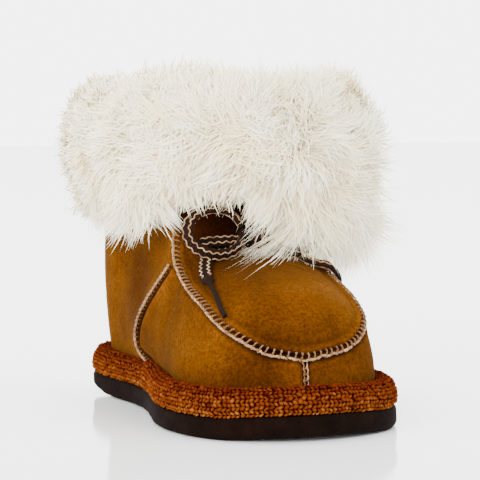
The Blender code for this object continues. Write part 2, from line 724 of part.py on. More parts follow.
def build_lace_bar(material, collection):
    """The lace across the throat between its two holes in the apron."""
    w = np.linspace(0.14, 0.86, 15)
    points, normals = on_apron(np.full(15, LACE_STATION), w, np.full(15, LACE_LIFT))
    return band("lace_bar", points, normals, material, collection)


def build_lace_knot(material, collection):
    """The bow's knot, a small flattened ball in front of the bar."""
    bpy.ops.mesh.primitive_uv_sphere_add(segments=12, ring_count=7, radius=1.0)
    knot = bpy.context.object
    knot.name = "lace_knot"
    knot.data.name = "lace_knot"
    knot.data.transform(diagonal(KNOT_SIZE, MM))
    knot.location = [value * MM for value in KNOT_PLACE]
    knot.data.shade_smooth()
    knot.data.materials.append(material)
    for group in list(knot.users_collection):
        group.objects.unlink(knot)
    collection.objects.link(knot)
    return knot


def diagonal(sizes, scale):
    """Scale matrix with half of each size."""
    half = [0.5 * size * scale for size in sizes]
    return Matrix.Diagonal((*half, 1.0))


def build_lace_loop(side, name, material, collection):
    """One loop of the bow: an open oval that leans back on the throat of the apron."""
    turn = np.radians(np.linspace(LOOP_GAP, 360.0 - LOOP_GAP, 22))
    outwards = np.array([side, 0.0, 0.0])
    upwards = unit(np.array([0.0, LOOP_LEAN, 1.0]))
    middle = np.array(KNOT_PLACE) + (side * LOOP_OFFSET[0], LOOP_OFFSET[1], LOOP_OFFSET[2])
    radial = (-np.outer(np.cos(turn), outwards) * LOOP_WIDTH
              - np.outer(np.sin(turn), upwards) * LOOP_HEIGHT) * 0.5
    facing = np.array([0.0, -1.0, LOOP_LEAN])
    normals = unit(unit(radial) + 0.45 * unit(facing))
    return band(name, middle + radial, normals, material, collection)


def build_inner_end(material, collection):
    """The inner end of the lace, from under the bow down along the seam of the apron."""
    places = np.linspace(0, len(INNER_END_ROUTE) - 1, 14)
    points, normals = on_apron(*spline(np.array(INNER_END_ROUTE), places).T)
    return band("lace_end_medial", points, normals, material, collection)


def build_outer_end(material, collection):
    """The outer end of the lace, from under the bow over the seam and down the wall."""
    top, top_normals = on_apron(*np.array(OUTER_END_ON_APRON).T)
    wall, wall_normals = on_wall(+1, *np.array(OUTER_END_ON_WALL).T)
    route = np.concatenate([top, wall])
    places = np.linspace(0, len(route) - 1, 16)
    normals = unit(spline(np.concatenate([top_normals, wall_normals]), places))
    return band("lace_end_lateral", spline(route, places), normals, material, collection)


def main():
    clear_scene()
    collection = bpy.data.collections.new("baby_wool_slipper")
    cutters = bpy.data.collections.new("cutters")
    for group in (collection, cutters):
        bpy.context.scene.collection.children.link(group)
    suede = make_material("suede", (0.42, 0.20, 0.06), 0.9)
    foam = make_material("foam_rubber", (0.035, 0.022, 0.018), 0.6)
    knit = make_material("knitted_tape", (0.50, 0.17, 0.03), 0.95)
    felt = make_material("insole_felt", (0.75, 0.70, 0.60), 0.95)
    wool = make_material("wool", (0.86, 0.83, 0.76), 0.95)
    braid = make_material("lace_braid", (0.045, 0.025, 0.018), 0.8)
    build_outsole(foam, collection)
    build_insole(felt, collection)
    build_upper(suede, collection)
    build_welt(knit, collection)
    build_cuff(wool, collection, cutters)
    build_lace_bar(braid, collection)
    build_lace_knot(braid, collection)
    for side, word in ((-1, "medial"), (1, "lateral")):
        build_lace_loop(side, "lace_loop_" + word, braid, collection)
    build_inner_end(braid, collection)
    build_outer_end(braid, collection)


main()
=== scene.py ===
# %% [markdown]
# # A baby's wool slipper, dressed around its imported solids
#
# The slipper is a suede moccasin on a foam-rubber sole. A knitted tape hides the joint
# between the two, a sheepskin cuff is folded over the collar, and a braided lace is tied
# in a bow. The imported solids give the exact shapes. They stay as a hidden frame, and each
# cell below makes one visible piece in the same place, with the detail of the real one.

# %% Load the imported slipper
import bmesh
import bpy
import numpy as np
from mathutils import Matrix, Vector


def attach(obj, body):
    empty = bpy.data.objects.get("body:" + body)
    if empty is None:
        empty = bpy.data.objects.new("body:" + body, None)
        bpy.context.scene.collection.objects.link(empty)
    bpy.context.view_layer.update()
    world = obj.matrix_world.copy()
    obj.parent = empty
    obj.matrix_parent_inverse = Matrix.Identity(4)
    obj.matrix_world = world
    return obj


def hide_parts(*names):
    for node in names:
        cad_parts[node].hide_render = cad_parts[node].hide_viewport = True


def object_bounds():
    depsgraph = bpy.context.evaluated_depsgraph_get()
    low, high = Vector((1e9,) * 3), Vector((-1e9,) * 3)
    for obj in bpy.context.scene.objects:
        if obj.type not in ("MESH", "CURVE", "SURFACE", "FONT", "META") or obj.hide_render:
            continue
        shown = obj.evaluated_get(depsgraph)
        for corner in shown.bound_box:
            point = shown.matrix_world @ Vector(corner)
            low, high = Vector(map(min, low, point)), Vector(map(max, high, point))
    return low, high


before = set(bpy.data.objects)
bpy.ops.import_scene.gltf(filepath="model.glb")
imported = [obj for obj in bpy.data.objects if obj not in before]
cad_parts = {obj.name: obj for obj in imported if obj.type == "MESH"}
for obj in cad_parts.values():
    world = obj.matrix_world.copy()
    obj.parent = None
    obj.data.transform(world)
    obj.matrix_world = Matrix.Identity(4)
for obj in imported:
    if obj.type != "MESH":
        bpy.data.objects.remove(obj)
MM = 0.001
CAD_BOX = [list(corner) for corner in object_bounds()]
print("box of the solids in mm:", np.round(np.array(CAD_BOX) / MM, 1).tolist())

# %% [markdown]
# ## The camera
#
# The camera stands where one sees the inner side and the toe, low and a little from
# above. A long lens from 60 cm away keeps the sole and the wool in natural proportion.

# %% Camera
def add_camera(place, aim, lens):
    """A camera at a place, turned so that it looks at the aim."""
    data = bpy.data.cameras.new("camera")
    data.lens = lens
    camera = bpy.data.objects.new("camera", data)
    bpy.context.scene.collection.objects.link(camera)
    camera.location = place
    camera.rotation_euler = (Vector(aim) - Vector(place)).to_track_quat("-Z", "Y").to_euler()
    bpy.context.scene.camera = camera


MIDDLE = np.mean(CAD_BOX, axis=0)
CAMERA_PLACE, CAMERA_LENS = (-0.2249, -0.5557, 0.0822), 172.0
CAMERA_AIM = (MIDDLE[0] - 0.001, MIDDLE[1], MIDDLE[2] + 0.0005)
add_camera(CAMERA_PLACE, CAMERA_AIM, CAMERA_LENS)
print("camera looks at", np.round(np.array(CAMERA_AIM) / MM, 1).tolist(), "mm")

# %% [markdown]
# ## The slipper's own sizes
#
# A shoe is drawn from its sole. The first table is the sole's outline, and the second
# has the stations of the upper from toe to heel. They are the same numbers that the
# solids were made from, so a finer surface worked out from them fits without adjusting.
# All lengths are in millimetres.

# %% Tables
SOLE_LENGTH, SOLE_THICKNESS = 125.0, 5.2
HEEL_ROCKER, HEEL_ROCKER_SHARE = 3.4, 0.26
TOE_SPRING, TOE_SPRING_SHARE = 1.0, 0.09
UPPER_WALL, UPPER_INSET, CLEARANCE = 2.4, 6.2, 0.3
TOE_SWING, SWING_FROM, SWING_TO = 2.5, -46.0, -54.8
WALL_LOW, WALL_HIGH, SWEEP_LOW, ARCH_POWER = 0.42, 0.34, 0.4, 2.3
COLLAR_HEIGHT, COLLAR_TOP = 78.0, 78.6
SHAFT_MIDDLE = (-1.0, 26.0)
OUTLINE = np.array([
    # share from the heel, inner half width, outer half width
    (0.000, 0.0, 0.0), (0.012, 9.0, 9.0), (0.050, 17.8, 17.8), (0.120, 22.6, 22.8),
    (0.200, 23.5, 24.0), (0.290, 23.0, 24.2), (0.380, 22.6, 24.4), (0.480, 23.8, 25.4),
    (0.580, 27.0, 27.4), (0.680, 30.2, 29.0), (0.770, 31.0, 28.8), (0.860, 29.0, 25.8),
    (0.930, 24.0, 19.4), (0.980, 15.0, 9.0), (1.000, 4.0, -4.0)])
STATIONS = np.array([
    # place on the sole's edge, half width, y, z, push out low and high, sweep, crest y and z
    (0.000, 0.0, -54.8, 18.8, 1.6, 0.8, 0.0, -54.8, 18.8),
    (0.090, 11.5, -51.0, 20.9, 1.8, 1.2, 0.0, -52.4, 26.4),
    (0.190, 18.8, -43.0, 25.8, 2.2, 1.6, 0.0, -45.5, 32.2),
    (0.290, 20.6, -33.0, 30.8, 2.4, 2.0, 0.0, -35.0, 36.2),
    (0.400, 20.6, -22.0, 34.8, 4.0, 2.4, 3.0, -24.5, 39.2),
    (0.600, 19.4, -11.5, 40.2, 9.5, 3.0, 12.0, -15.0, 42.2),
    (0.670, 17.4, -5.5, 47.0, 9.0, 1.6, 9.0, -9.5, 47.5),
    (0.730, 16.4, -0.5, 58.0, 8.5, 0.8, 5.0, -4.0, 58.0),
    (0.780, 16.2, 5.3, COLLAR_HEIGHT, 8.0, 0.4, 2.0, 0.0, COLLAR_HEIGHT),
    (0.830, 21.5, 12.8, COLLAR_HEIGHT, 8.0, 0.4, 0.0, 0.0, COLLAR_HEIGHT),
    (0.880, 24.0, 26.5, COLLAR_HEIGHT, 8.5, 0.4, 0.0, 0.0, COLLAR_HEIGHT),
    (0.945, 17.6, 45.8, COLLAR_HEIGHT, 7.2, 0.4, 0.0, 0.0, COLLAR_HEIGHT),
    (1.000, 0.0, 52.4, COLLAR_HEIGHT, 4.0, 0.4, 0.0, 0.0, COLLAR_HEIGHT)])
SEAM_STATION, COLLAR_STATION, HEEL_STATION = 5, 8, 12
print(len(OUTLINE), "rows of outline and", len(STATIONS), "stations")

# %% Curves
def spline(points, places, closed=False):
    """Catmull-Rom curve: the cubic through four neighbouring points, read at the places.

    A place is a point's number, and halfway places lie between two points.
    """
    points = np.asarray(points, float)
    places = np.asarray(places, float)
    count = len(points)
    left = np.floor(places).astype(int)
    if closed:
        picks = [points[(left + k) % count] for k in (-1, 0, 1, 2)]
    else:
        left = np.clip(left, 0, count - 2)
        padded = np.concatenate([[2 * points[0] - points[1]], points,
                                 [2 * points[-1] - points[-2]]])
        picks = [padded[left + k] for k in (0, 1, 2, 3)]
    before, here, there, after = picks
    t = (places - left)[..., None]
    return 0.5 * (2 * here + (there - before) * t
                  + (2 * before - 5 * here + 4 * there - after) * t ** 2
                  + (3 * here - before - 3 * there + after) * t ** 3)


def smooth_step(value):
    """0 below 0, 1 above 1, and 3x^2 - 2x^3 between."""
    value = np.clip(value, 0.0, 1.0)
    return value * value * (3.0 - 2.0 * value)


def hump(distance, width):
    """A bell: e to the power of minus the square of distance over width."""
    return np.exp(-(np.asarray(distance) / width) ** 2)


def unit(vectors):
    """The vectors divided by their own length."""
    return vectors / np.maximum(np.linalg.norm(vectors, axis=-1, keepdims=True), 1e-12)


def read_along(points, way, places):
    """Points of a polyline at distances along it, by linear interpolation."""
    return np.stack([np.interp(places, way, points[:, k]) for k in range(points.shape[1])], -1)


def way_along(points):
    """Distance along a polyline from its first point to each point."""
    steps = np.linalg.norm(np.diff(points, axis=0), axis=1)
    return np.concatenate([[0.0], np.cumsum(steps)])


print("smooth_step at a quarter:", float(smooth_step(0.25)), "and hump one width away:",
      round(float(hump(1.0, 1.0)), 3))

# %% [markdown]
# ## The outline, the sole's heights and the upper's surface
#
# The outline's rows become one closed spline, and moving it inwards along its normals
# gives every other line of the sole. Each station of the upper is a Bezier curve from
# the sole to the top line. The apron is a straight chord between its two seams, lifted
# by a rounded arch.

# %% Outline and heights
def outline_sides(inset):
    """Both sides of the sole's outline from toe to heel, moved inwards along the normals."""
    y = SOLE_LENGTH * (0.5 - OUTLINE[:, 0])
    medial = np.stack([-OUTLINE[:, 1], y], axis=1)
    lateral = np.stack([OUTLINE[:, 2], y], axis=1)
    loop = np.concatenate([medial, lateral[-2:0:-1]])
    toe, steps = len(medial) - 1, 16
    curve = spline(loop, np.arange(len(loop) * steps) / steps, closed=True)
    along = unit(np.roll(curve, -1, axis=0) - np.roll(curve, 1, axis=0))
    inwards = np.stack([along[:, 1], -along[:, 0]], axis=1)
    curve = curve + inset * inwards * np.sign(-np.sum(inwards * curve))
    return curve[toe * steps::-1], np.concatenate([curve[toe * steps:], curve[:1]])


def on_outline(side, inset, shares):
    """Points of one side, -1 inner or +1 outer, at shares of its length from the toe."""
    curve = outline_sides(inset)[0 if side < 0 else 1]
    way = way_along(curve)
    return read_along(curve, way / way[-1], shares)


def ground_gap(y):
    """Height of the sole's underside: flat, with the heel's rocker and the toe spring."""
    share = 0.5 - y / SOLE_LENGTH
    return (HEEL_ROCKER * smooth_step(1.0 - share / HEEL_ROCKER_SHARE)
            + TOE_SPRING * smooth_step((share - 1.0) / TOE_SPRING_SHARE + 1.0))


def deck(y):
    """Height of the sole's top: flat, raised a little at the toe and the heel."""
    share = 0.5 - y / SOLE_LENGTH
    return (SOLE_THICKNESS + 0.15 * HEEL_ROCKER * smooth_step(1.0 - share / HEEL_ROCKER_SHARE)
            + TOE_SPRING * smooth_step((share - 1.0) / TOE_SPRING_SHARE + 1.0))


inner_side, outer_side = outline_sides(0.0)
print(f"outline: {way_along(inner_side)[-1]:.0f} mm from toe to heel on the inner side, "
      f"{way_along(outer_side)[-1]:.0f} mm on the outer side")

# %% The upper's surface
def foot_axis(y):
    """x of the middle line, which swings inwards with the square of the way to the toe."""
    return SHAFT_MIDDLE[0] - TOE_SWING * np.clip((y - SWING_FROM) / (SWING_TO - SWING_FROM),
                                                 0.0, 1.0) ** 2


def side_wall(side, u, v):
    """Point on a side wall: a Bezier curve from the sole (v = 0) to the top line (v = 1).

    Its two handles stand upright, pushed outwards at the foot and at the top.
    """
    row = spline(STATIONS, u)
    share, half_width, y, z, low_out, high_out, sweep = np.moveaxis(row[..., :7], -1, 0)
    z = np.minimum(z, COLLAR_HEIGHT)
    share = np.clip(share, 0.0, 1.0)
    foot = on_outline(side, UPPER_INSET, share)
    outwards = unit(on_outline(side, 0.0, share) - foot)
    floor = deck(foot[..., 1]) + CLEARANCE
    flat = np.zeros_like(z)
    start = np.stack([foot[..., 0], foot[..., 1], floor], axis=-1)
    end = np.stack([foot_axis(y) + side * half_width, y, z], axis=-1)
    push = np.stack([outwards[..., 0], outwards[..., 1], flat], axis=-1)
    rise = np.stack([flat, flat, z - floor], axis=-1)
    back = np.stack([flat, sweep, flat], axis=-1)
    low = start + push * low_out[..., None] + WALL_LOW * rise + SWEEP_LOW * back
    high = end + push * high_out[..., None] - WALL_HIGH * rise + back
    v = np.asarray(v, float)[..., None]
    return ((1 - v) ** 3 * start + 3 * v * (1 - v) ** 2 * low
            + 3 * v ** 2 * (1 - v) * high + v ** 3 * end)


def apron(u, w):
    """Point on the apron: the chord from inner (w = 0) to outer seam (w = 1) plus an arch."""
    top = np.ones_like(u)
    medial, lateral = side_wall(-1, u, top), side_wall(+1, u, top)
    row = spline(STATIONS, u)
    crest_y, crest_z = row[..., 7], np.minimum(row[..., 8], COLLAR_HEIGHT)
    crest = np.stack([foot_axis(crest_y), crest_y, crest_z], axis=-1)
    arch = 1.0 - np.abs(2.0 * w - 1.0) ** ARCH_POWER
    return (medial + (lateral - medial) * w[..., None]
            + (crest - 0.5 * (medial + lateral)) * arch[..., None])


def wall_normal(side, u, v):
    """Outward normal of a wall: the cross product of its two small steps."""
    step = 0.01
    along = (side_wall(side, np.clip(u + step, 0, HEEL_STATION), v)
             - side_wall(side, np.clip(u - step, 0, HEEL_STATION), v))
    up = side_wall(side, u, np.clip(v + step, 0, 1)) - side_wall(side, u, np.clip(v - step, 0, 1))
    return unit(side * np.cross(along, up))


def apron_normal(u, w):
    """Upward normal of the apron: the cross product of its two small steps."""
    step = 0.02
    along = apron(u + step, w) - apron(u - step, w)
    across = apron(u, w + step) - apron(u, w - step)
    return unit(np.cross(across, along))


THROAT = apron(np.array([float(SEAM_STATION)]), np.array([0.5]))[0]
print("the apron's middle between the side seams is at", np.round(THROAT, 1).tolist(), "mm")

# %% [markdown]
# ## From arrays to meshes
#
# A grid of points needs only one list of quads. A strip of points carried along a path
# makes a thread, a braid or a stitch. Many threads can be worked out at once when their
# points are kept in one array, and one mesh then holds them all.

# %% Mesh helpers
COLLECTION = bpy.context.scene.collection


def grid_faces(rows, columns, close_rows=False, close_columns=False):
    """Quads of a grid of points, and the (column, row) of each corner, for the UV map."""
    r = np.arange(rows if close_rows else rows - 1)
    c = np.arange(columns if close_columns else columns - 1)
    row, column = np.meshgrid(r, c, indexing="ij")
    rows_at = np.stack([row, row, row + 1, row + 1], axis=-1)
    columns_at = np.stack([column, column + 1, column + 1, column], axis=-1)
    faces = (rows_at % rows) * columns + columns_at % columns
    return faces.reshape(-1, 4), np.stack([columns_at, rows_at], axis=-1).reshape(-1, 4, 2)


def make_piece(name, points, faces, materials, uv, picks=None, attributes=None):
    """A mesh object from arrays: points in mm, face arrays of 3 or 4 corners, corner UVs.

    picks has the material's number for each face, and each attribute a number for each
    point.
    """
    faces = faces if isinstance(faces, (list, tuple)) else [faces]
    corners = np.concatenate([np.asarray(f, np.int32).ravel() for f in faces])
    sizes = np.concatenate([np.full(len(f), np.shape(f)[1], np.int32) for f in faces])
    mesh = bpy.data.meshes.new(name)
    mesh.vertices.add(len(points))
    mesh.vertices.foreach_set("co", (np.asarray(points, float) * MM).astype(np.float32).ravel())
    mesh.loops.add(len(corners))
    mesh.loops.foreach_set("vertex_index", corners)
    mesh.polygons.add(len(sizes))
    starts = np.concatenate([[0], np.cumsum(sizes)[:-1]]).astype(np.int32)
    mesh.polygons.foreach_set("loop_start", starts)
    if picks is not None:
        mesh.polygons.foreach_set("material_index", np.asarray(picks, np.int32))
    mesh.update(calc_edges=True)
    mesh.shade_smooth()
    layer = mesh.uv_layers.new(name="weave")
    layer.data.foreach_set("uv", np.asarray(uv, np.float32).ravel())
    for key, values in (attributes or {}).items():
        layer = mesh.attributes.new(key, "FLOAT", "POINT")
        layer.data.foreach_set("value", np.asarray(values, np.float32).ravel())
    for material in materials:
        mesh.materials.append(material)
    piece = bpy.data.objects.new(name, mesh)
    COLLECTION.objects.link(piece)
    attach(piece, "root")
    print(f"{name}: {int((sizes - 2).sum())} triangles before modifiers")
    return piece


def grid_piece(name, points, materials, close_columns=False, attributes=None):
    """A piece from one grid of points (rows, columns, 3), its UVs the column and the row."""
    faces, places = grid_faces(*points.shape[:2], close_columns=close_columns)
    return make_piece(name, points.reshape(-1, 3), faces, materials, uv=places,
                      attributes=attributes)


def thicken(piece, thickness):
    """Give a sheet its thickness, inwards, with Solidify."""
    wall = piece.modifiers.new("thickness", "SOLIDIFY")
    wall.thickness = thickness * MM
    wall.offset = -1.0
    wall.use_quality_normals = True

# %% Threads and bands
def tube_mesh(paths, facing, half_width, half_height, sides, power=1.0):
    """Rounded strips along many paths (threads, points, 3) at once.

    At each point stands an oval: across times half_width times cos, plus up times
    half_height times sin. A power below 1 squares the oval. Both ends close in a point.
    Gives the points, the quads, the end triangles and the UVs of both kinds of face.
    """
    paths = np.asarray(paths, float)
    threads, count = paths.shape[:2]
    along = unit(np.gradient(paths, axis=1))
    across = unit(np.cross(along, np.broadcast_to(facing, paths.shape)))
    up = np.cross(across, along)
    turn = np.arange(sides) * 2.0 * np.pi / sides
    cos, sin = (np.sign(f) * np.abs(f) ** power for f in (np.cos(turn), np.sin(turn)))
    half_width = np.broadcast_to(half_width, (threads, count))[..., None, None]
    half_height = np.broadcast_to(half_height, (threads, count))[..., None, None]
    rings = (paths[:, :, None] + across[:, :, None] * half_width * cos[:, None]
             + up[:, :, None] * half_height * sin[:, None])
    end = 0.5 * np.minimum(half_width, half_height)[:, :, 0]
    first = paths[:, :1] - along[:, :1] * end[:, :1]
    last = paths[:, -1:] + along[:, -1:] * end[:, -1:]
    points = np.concatenate([rings.reshape(threads, -1, 3), first, last], axis=1)
    i, j = np.meshgrid(np.arange(count - 1), np.arange(sides), indexing="ij")
    k = (j + 1) % sides
    quads = np.stack([i * sides + j, (i + 1) * sides + j,
                      (i + 1) * sides + k, i * sides + k], axis=-1).reshape(-1, 4)
    way = np.concatenate([np.zeros((threads, 1)), np.cumsum(
        np.linalg.norm(np.diff(paths, axis=1), axis=2), axis=1)], axis=1)
    quad_uv = np.stack([np.stack([way[:, a], np.broadcast_to(b / sides, way[:, a].shape)], -1)
                        for a, b in ((i.ravel(), j.ravel()), (i.ravel() + 1, j.ravel()),
                                     (i.ravel() + 1, j.ravel() + 1),
                                     (i.ravel(), j.ravel() + 1))], axis=2)
    ring, after = np.arange(sides), (np.arange(sides) + 1) % sides
    pole = np.full(sides, count * sides)
    fans = np.concatenate([np.stack([pole, ring, after], -1),
                           np.stack([pole + 1, (count - 1) * sides + after,
                                     (count - 1) * sides + ring], -1)])
    fan_uv = np.zeros((threads, 2 * sides, 3, 2))
    fan_uv[:, sides:, :, 0] = way[:, -1][:, None, None]
    shift = (np.arange(threads) * (count * sides + 2))[:, None, None]
    return (points.reshape(-1, 3), (quads + shift).reshape(-1, 4), (fans + shift).reshape(-1, 3),
            np.concatenate([quad_uv.reshape(-1, 2), fan_uv.reshape(-1, 2)]))


def tube_piece(name, paths, facing, half_width, half_height, material, slot, sides,
               attributes=None):
    """Threads as one piece of one material; an attribute has a number for each path point."""
    points, quads, fans, uv = tube_mesh(paths, facing, half_width, half_height, sides)
    spread = {}
    for key, values in (attributes or {}).items():
        rings = np.repeat(values, sides, axis=1)
        spread[key] = np.concatenate([rings, values[:, :1], values[:, -1:]], axis=1)
    make_piece(name, points, [quads, fans], [material], uv=uv, attributes=spread)


def join_tubes(name, parts, materials):
    """Several sets of threads as one piece; each part is a tube mesh and its material's number."""
    total = 0
    points, quads, fans = [], [], []
    quad_uv, fan_uv, quad_picks, fan_picks = [], [], [], []
    for (some, four, three, uv), pick in parts:
        points.append(some)
        quads.append(four + total)
        fans.append(three + total)
        quad_uv.append(uv[:four.size])
        fan_uv.append(uv[four.size:])
        quad_picks.append(np.full(len(four), pick))
        fan_picks.append(np.full(len(three), pick))
        total += len(some)
    return make_piece(name, np.concatenate(points),
                      [np.concatenate(quads), np.concatenate(fans)], materials,
                      uv=np.concatenate(quad_uv + fan_uv),
                      picks=np.concatenate(quad_picks + fan_picks))


straight = [[(0.0, 0.0, 0.0), (1.0, 0.0, 0.0), (2.0, 0.0, 0.0)]]
print("a six-sided thread along three points has",
      len(tube_mesh(straight, np.array([0.0, 0.0, 1.0]), 0.2, 0.1, 6)[0]), "points")

# %% [markdown]
# ## Materials
#
# Each finish is one Principled shader with a few noise nodes in front of it. Patterns
# that lie in the stuff, such as the nap of suede, read Object coordinates in metres, so a
# noise scale of 1000 means a grain of about a millimetre. Patterns that follow a thread
# read its UV map, which counts millimetres.

# %% Material helpers
def new_material(name, roughness, specular, sheen=0.0, sheen_tint=(1.0, 1.0, 1.0)):
    """A material with its Principled shader's plain values set on the shader itself."""
    material = bpy.data.materials.new(name)
    material.use_nodes = True
    shader = material.node_tree.nodes["Principled BSDF"]
    shader.inputs["Roughness"].default_value = roughness
    shader.inputs["Sheen Weight"].default_value = sheen
    shader.inputs["Sheen Roughness"].default_value = 0.45
    shader.inputs["Sheen Tint"].default_value = (*sheen_tint, 1.0)
    shader.inputs["Specular IOR Level"].default_value = specular
    return material, material.node_tree, shader


def place_node(tree, source="Object"):
    """Coordinates that a pattern reads: Object in metres, or UV along the piece."""
    return tree.nodes.new("ShaderNodeTexCoord").outputs[source]


def noise(tree, place, scale, detail, roughness=0.5):
    """Noise with a number of bumps per metre, or per UV unit."""
    item = tree.nodes.new("ShaderNodeTexNoise")
    item.inputs["Scale"].default_value = scale
    item.inputs["Detail"].default_value = detail
    item.inputs["Roughness"].default_value = roughness
    tree.links.new(place, item.inputs["Vector"])
    return item.outputs["Fac"]


def ramp(tree, value, stops):
    """A colour for each value: stops of (position, colour)."""
    item = tree.nodes.new("ShaderNodeValToRGB")
    while len(item.color_ramp.elements) < len(stops):
        item.color_ramp.elements.new(0.5)
    for element, (position, color) in zip(item.color_ramp.elements, stops):
        element.position = position
        element.color = (*color, 1.0)
    tree.links.new(value, item.inputs["Fac"])
    return item.outputs["Color"]


def blend_colors(tree, kind, factor, first, second):
    """Two colours mixed; factor is a number or an output.

    A Mix node keeps its colour sockets at inputs 6 and 7 and its colour output at 2.
    """
    item = tree.nodes.new("ShaderNodeMix")
    item.data_type = "RGBA"
    item.blend_type = kind
    for value, socket in ((factor, item.inputs[0]), (first, item.inputs[6]),
                          (second, item.inputs[7])):
        if isinstance(value, bpy.types.NodeSocket):
            tree.links.new(value, socket)
        else:
            socket.default_value = value if isinstance(value, float) else (*value, 1.0)
    return item.outputs[2]


def calculate(tree, kind, first, second=0.0):
    """One sum on two numbers or outputs."""
    item = tree.nodes.new("ShaderNodeMath")
    item.operation = kind
    for value, socket in ((first, item.inputs[0]), (second, item.inputs[1])):
        if isinstance(value, bpy.types.NodeSocket):
            tree.links.new(value, socket)
        else:
            socket.default_value = value
    return item.outputs[0]


def read_attribute(tree, name):
    """The piece's own number at each point, such as how deep a crease is."""
    item = tree.nodes.new("ShaderNodeAttribute")
    item.attribute_name = name
    return item.outputs["Fac"]


def bump(tree, shader, height, distance, strength):
    """Small relief: height times a distance in metres."""
    item = tree.nodes.new("ShaderNodeBump")
    item.inputs["Strength"].default_value = strength
    item.inputs["Distance"].default_value = distance
    tree.links.new(height, item.inputs["Height"])
    tree.links.new(item.outputs["Normal"], shader.inputs["Normal"])


print("materials before the first finish:", len(bpy.data.materials))

# %% [markdown]
# ### Suede
#
# Suede is the brushed inner side of a hide. Its nap lies in patches that catch the light
# differently, hollows get painted shade and ridges turn paler. Three sizes of noise make
# the patches and the fibre. Two numbers stored on the mesh do the rest: relief paints
# shade into the creases, and the other paints shadow under the wool and shade in a few places.

# %% Suede
def make_suede():
    """Brown suede: patches 30 mm wide, mottling of 4 mm and a nap of half a millimetre."""
    material, tree, shader = new_material("suede", 0.95, specular=0.01, sheen=0.05,
                                          sheen_tint=(1.0, 0.55, 0.15))
    place = place_node(tree)
    patches = ramp(tree, noise(tree, place, 34.0, 2.0, 0.45),
                   [(0.32, (0.048, 0.0136, 0.0011)), (0.68, (0.122, 0.0410, 0.0029))])
    mottle = ramp(tree, noise(tree, place, 210.0, 5.0, 0.62),
                  [(0.30, (0.70, 0.64, 0.58)), (0.66, (1.0, 1.0, 1.0))])
    nap = ramp(tree, noise(tree, place, 1250.0, 3.0, 0.75),
               [(0.34, (0.46, 0.41, 0.35)), (0.64, (1.14, 1.14, 1.14))])
    color = blend_colors(tree, "MULTIPLY", 0.8, patches, mottle)
    color = blend_colors(tree, "MULTIPLY", 0.9, color, nap)
    # painted shade in the creases and hollows, read from the relief, and paler ridges
    crease_shade_and_pale_ridges = ramp(tree, read_attribute(tree, "relief"),
                  [(0.10, (0.10, 0.06, 0.04)), (0.48, (1.0, 1.0, 1.0)), (0.90, (1.55, 1.42, 1.2))])
    color = blend_colors(tree, "MULTIPLY", 1.0, color, crease_shade_and_pale_ridges)
    # painted shade from the mesh's own number: shadow under the wool, shade above the tape and on
    # the outer toe
    painted_shade = ramp(tree, read_attribute(tree, "painted_shade"),
                [(0.0, (1.0, 1.0, 1.0)), (1.0, (0.30, 0.22, 0.16))])
    color = blend_colors(tree, "MULTIPLY", 1.0, color, painted_shade)
    tree.links.new(color, shader.inputs["Base Color"])
    fibre = calculate(tree, "ADD", noise(tree, place, 2600.0, 3.0, 0.7),
                      noise(tree, place, 520.0, 4.0, 0.6))
    bump(tree, shader, fibre, 0.00022, 0.55)
    return material


SUEDE = make_suede()
print("suede is made of", len(SUEDE.node_tree.nodes), "nodes")

# %% [markdown]
# ### Thread, braid and foam
#
# The cut edges and the zigzags on the lace are cream thread, and the stitches over the
# edges are a darker golden one. The lace is a dark flat braid: its plait shows as a fine
# chevron, made by two waves that run across each other on the UV map. The sole is
# closed-cell foam, almost black, with pores.

# %% Thread, braid and foam
def make_thread(name, light, dark):
    """Twisted thread: slanting waves along the UV map and a soft colour change."""
    material, tree, shader = new_material(name, 0.8, sheen=0.3, specular=0.25)
    place = place_node(tree)
    color = ramp(tree, noise(tree, place, 420.0, 3.0), [(0.3, dark), (0.68, light)])
    tree.links.new(color, shader.inputs["Base Color"])
    wave = tree.nodes.new("ShaderNodeTexWave")
    wave.bands_direction = "DIAGONAL"
    wave.inputs["Scale"].default_value = 1.1
    tree.links.new(place_node(tree, "UV"), wave.inputs["Vector"])
    bump(tree, shader, wave.outputs["Fac"], 0.00008, 0.6)
    return material


def make_braid():
    """Dark braid: the product of two sine waves that cross is a plait of small diamonds."""
    material, tree, shader = new_material("lace_braid", 0.8, specular=0.05)
    split = tree.nodes.new("ShaderNodeSeparateXYZ")
    tree.links.new(place_node(tree, "UV"), split.inputs[0])
    along = calculate(tree, "MULTIPLY", split.outputs[0], 7.5)
    across = calculate(tree, "MULTIPLY", split.outputs[1], 50.3)
    first = calculate(tree, "SINE", calculate(tree, "ADD", along, across))
    second = calculate(tree, "SINE", calculate(tree, "SUBTRACT", along, across))
    plait = calculate(tree, "MAXIMUM", first, second)
    color = ramp(tree, calculate(tree, "ADD", calculate(tree, "MULTIPLY", plait, 0.5), 0.5),
                 [(0.3, (0.0030, 0.0016, 0.0012)), (0.95, (0.014, 0.0065, 0.0040))])
    tree.links.new(color, shader.inputs["Base Color"])
    bump(tree, shader, plait, 0.00012, 0.7)
    return material


def make_foam():
    """Dark foam rubber: small pores, and a slightly paler bloom in patches."""
    material, tree, shader = new_material("foam_rubber", 0.9, specular=0.04)
    place = place_node(tree)
    bloom = ramp(tree, noise(tree, place, 160.0, 5.0, 0.65),
                 [(0.35, (0.0022, 0.0008, 0.0005)), (0.75, (0.0066, 0.0026, 0.0015))])
    tree.links.new(bloom, shader.inputs["Base Color"])
    pores = tree.nodes.new("ShaderNodeTexVoronoi")
    pores.inputs["Scale"].default_value = 1500.0
    tree.links.new(place, pores.inputs["Vector"])
    bump(tree, shader, pores.outputs["Distance"], 0.00018, 0.45)
    return material


CREAM_THREAD = make_thread("cream_thread", (0.42, 0.245, 0.108), (0.13, 0.050, 0.016))
TAN_THREAD = make_thread("tan_thread", (0.185, 0.074, 0.0105), (0.080, 0.025, 0.003))
BRAID = make_braid()
FOAM = make_foam()
print("finishes:", ", ".join(item.name for item in (CREAM_THREAD, TAN_THREAD, BRAID, FOAM)))

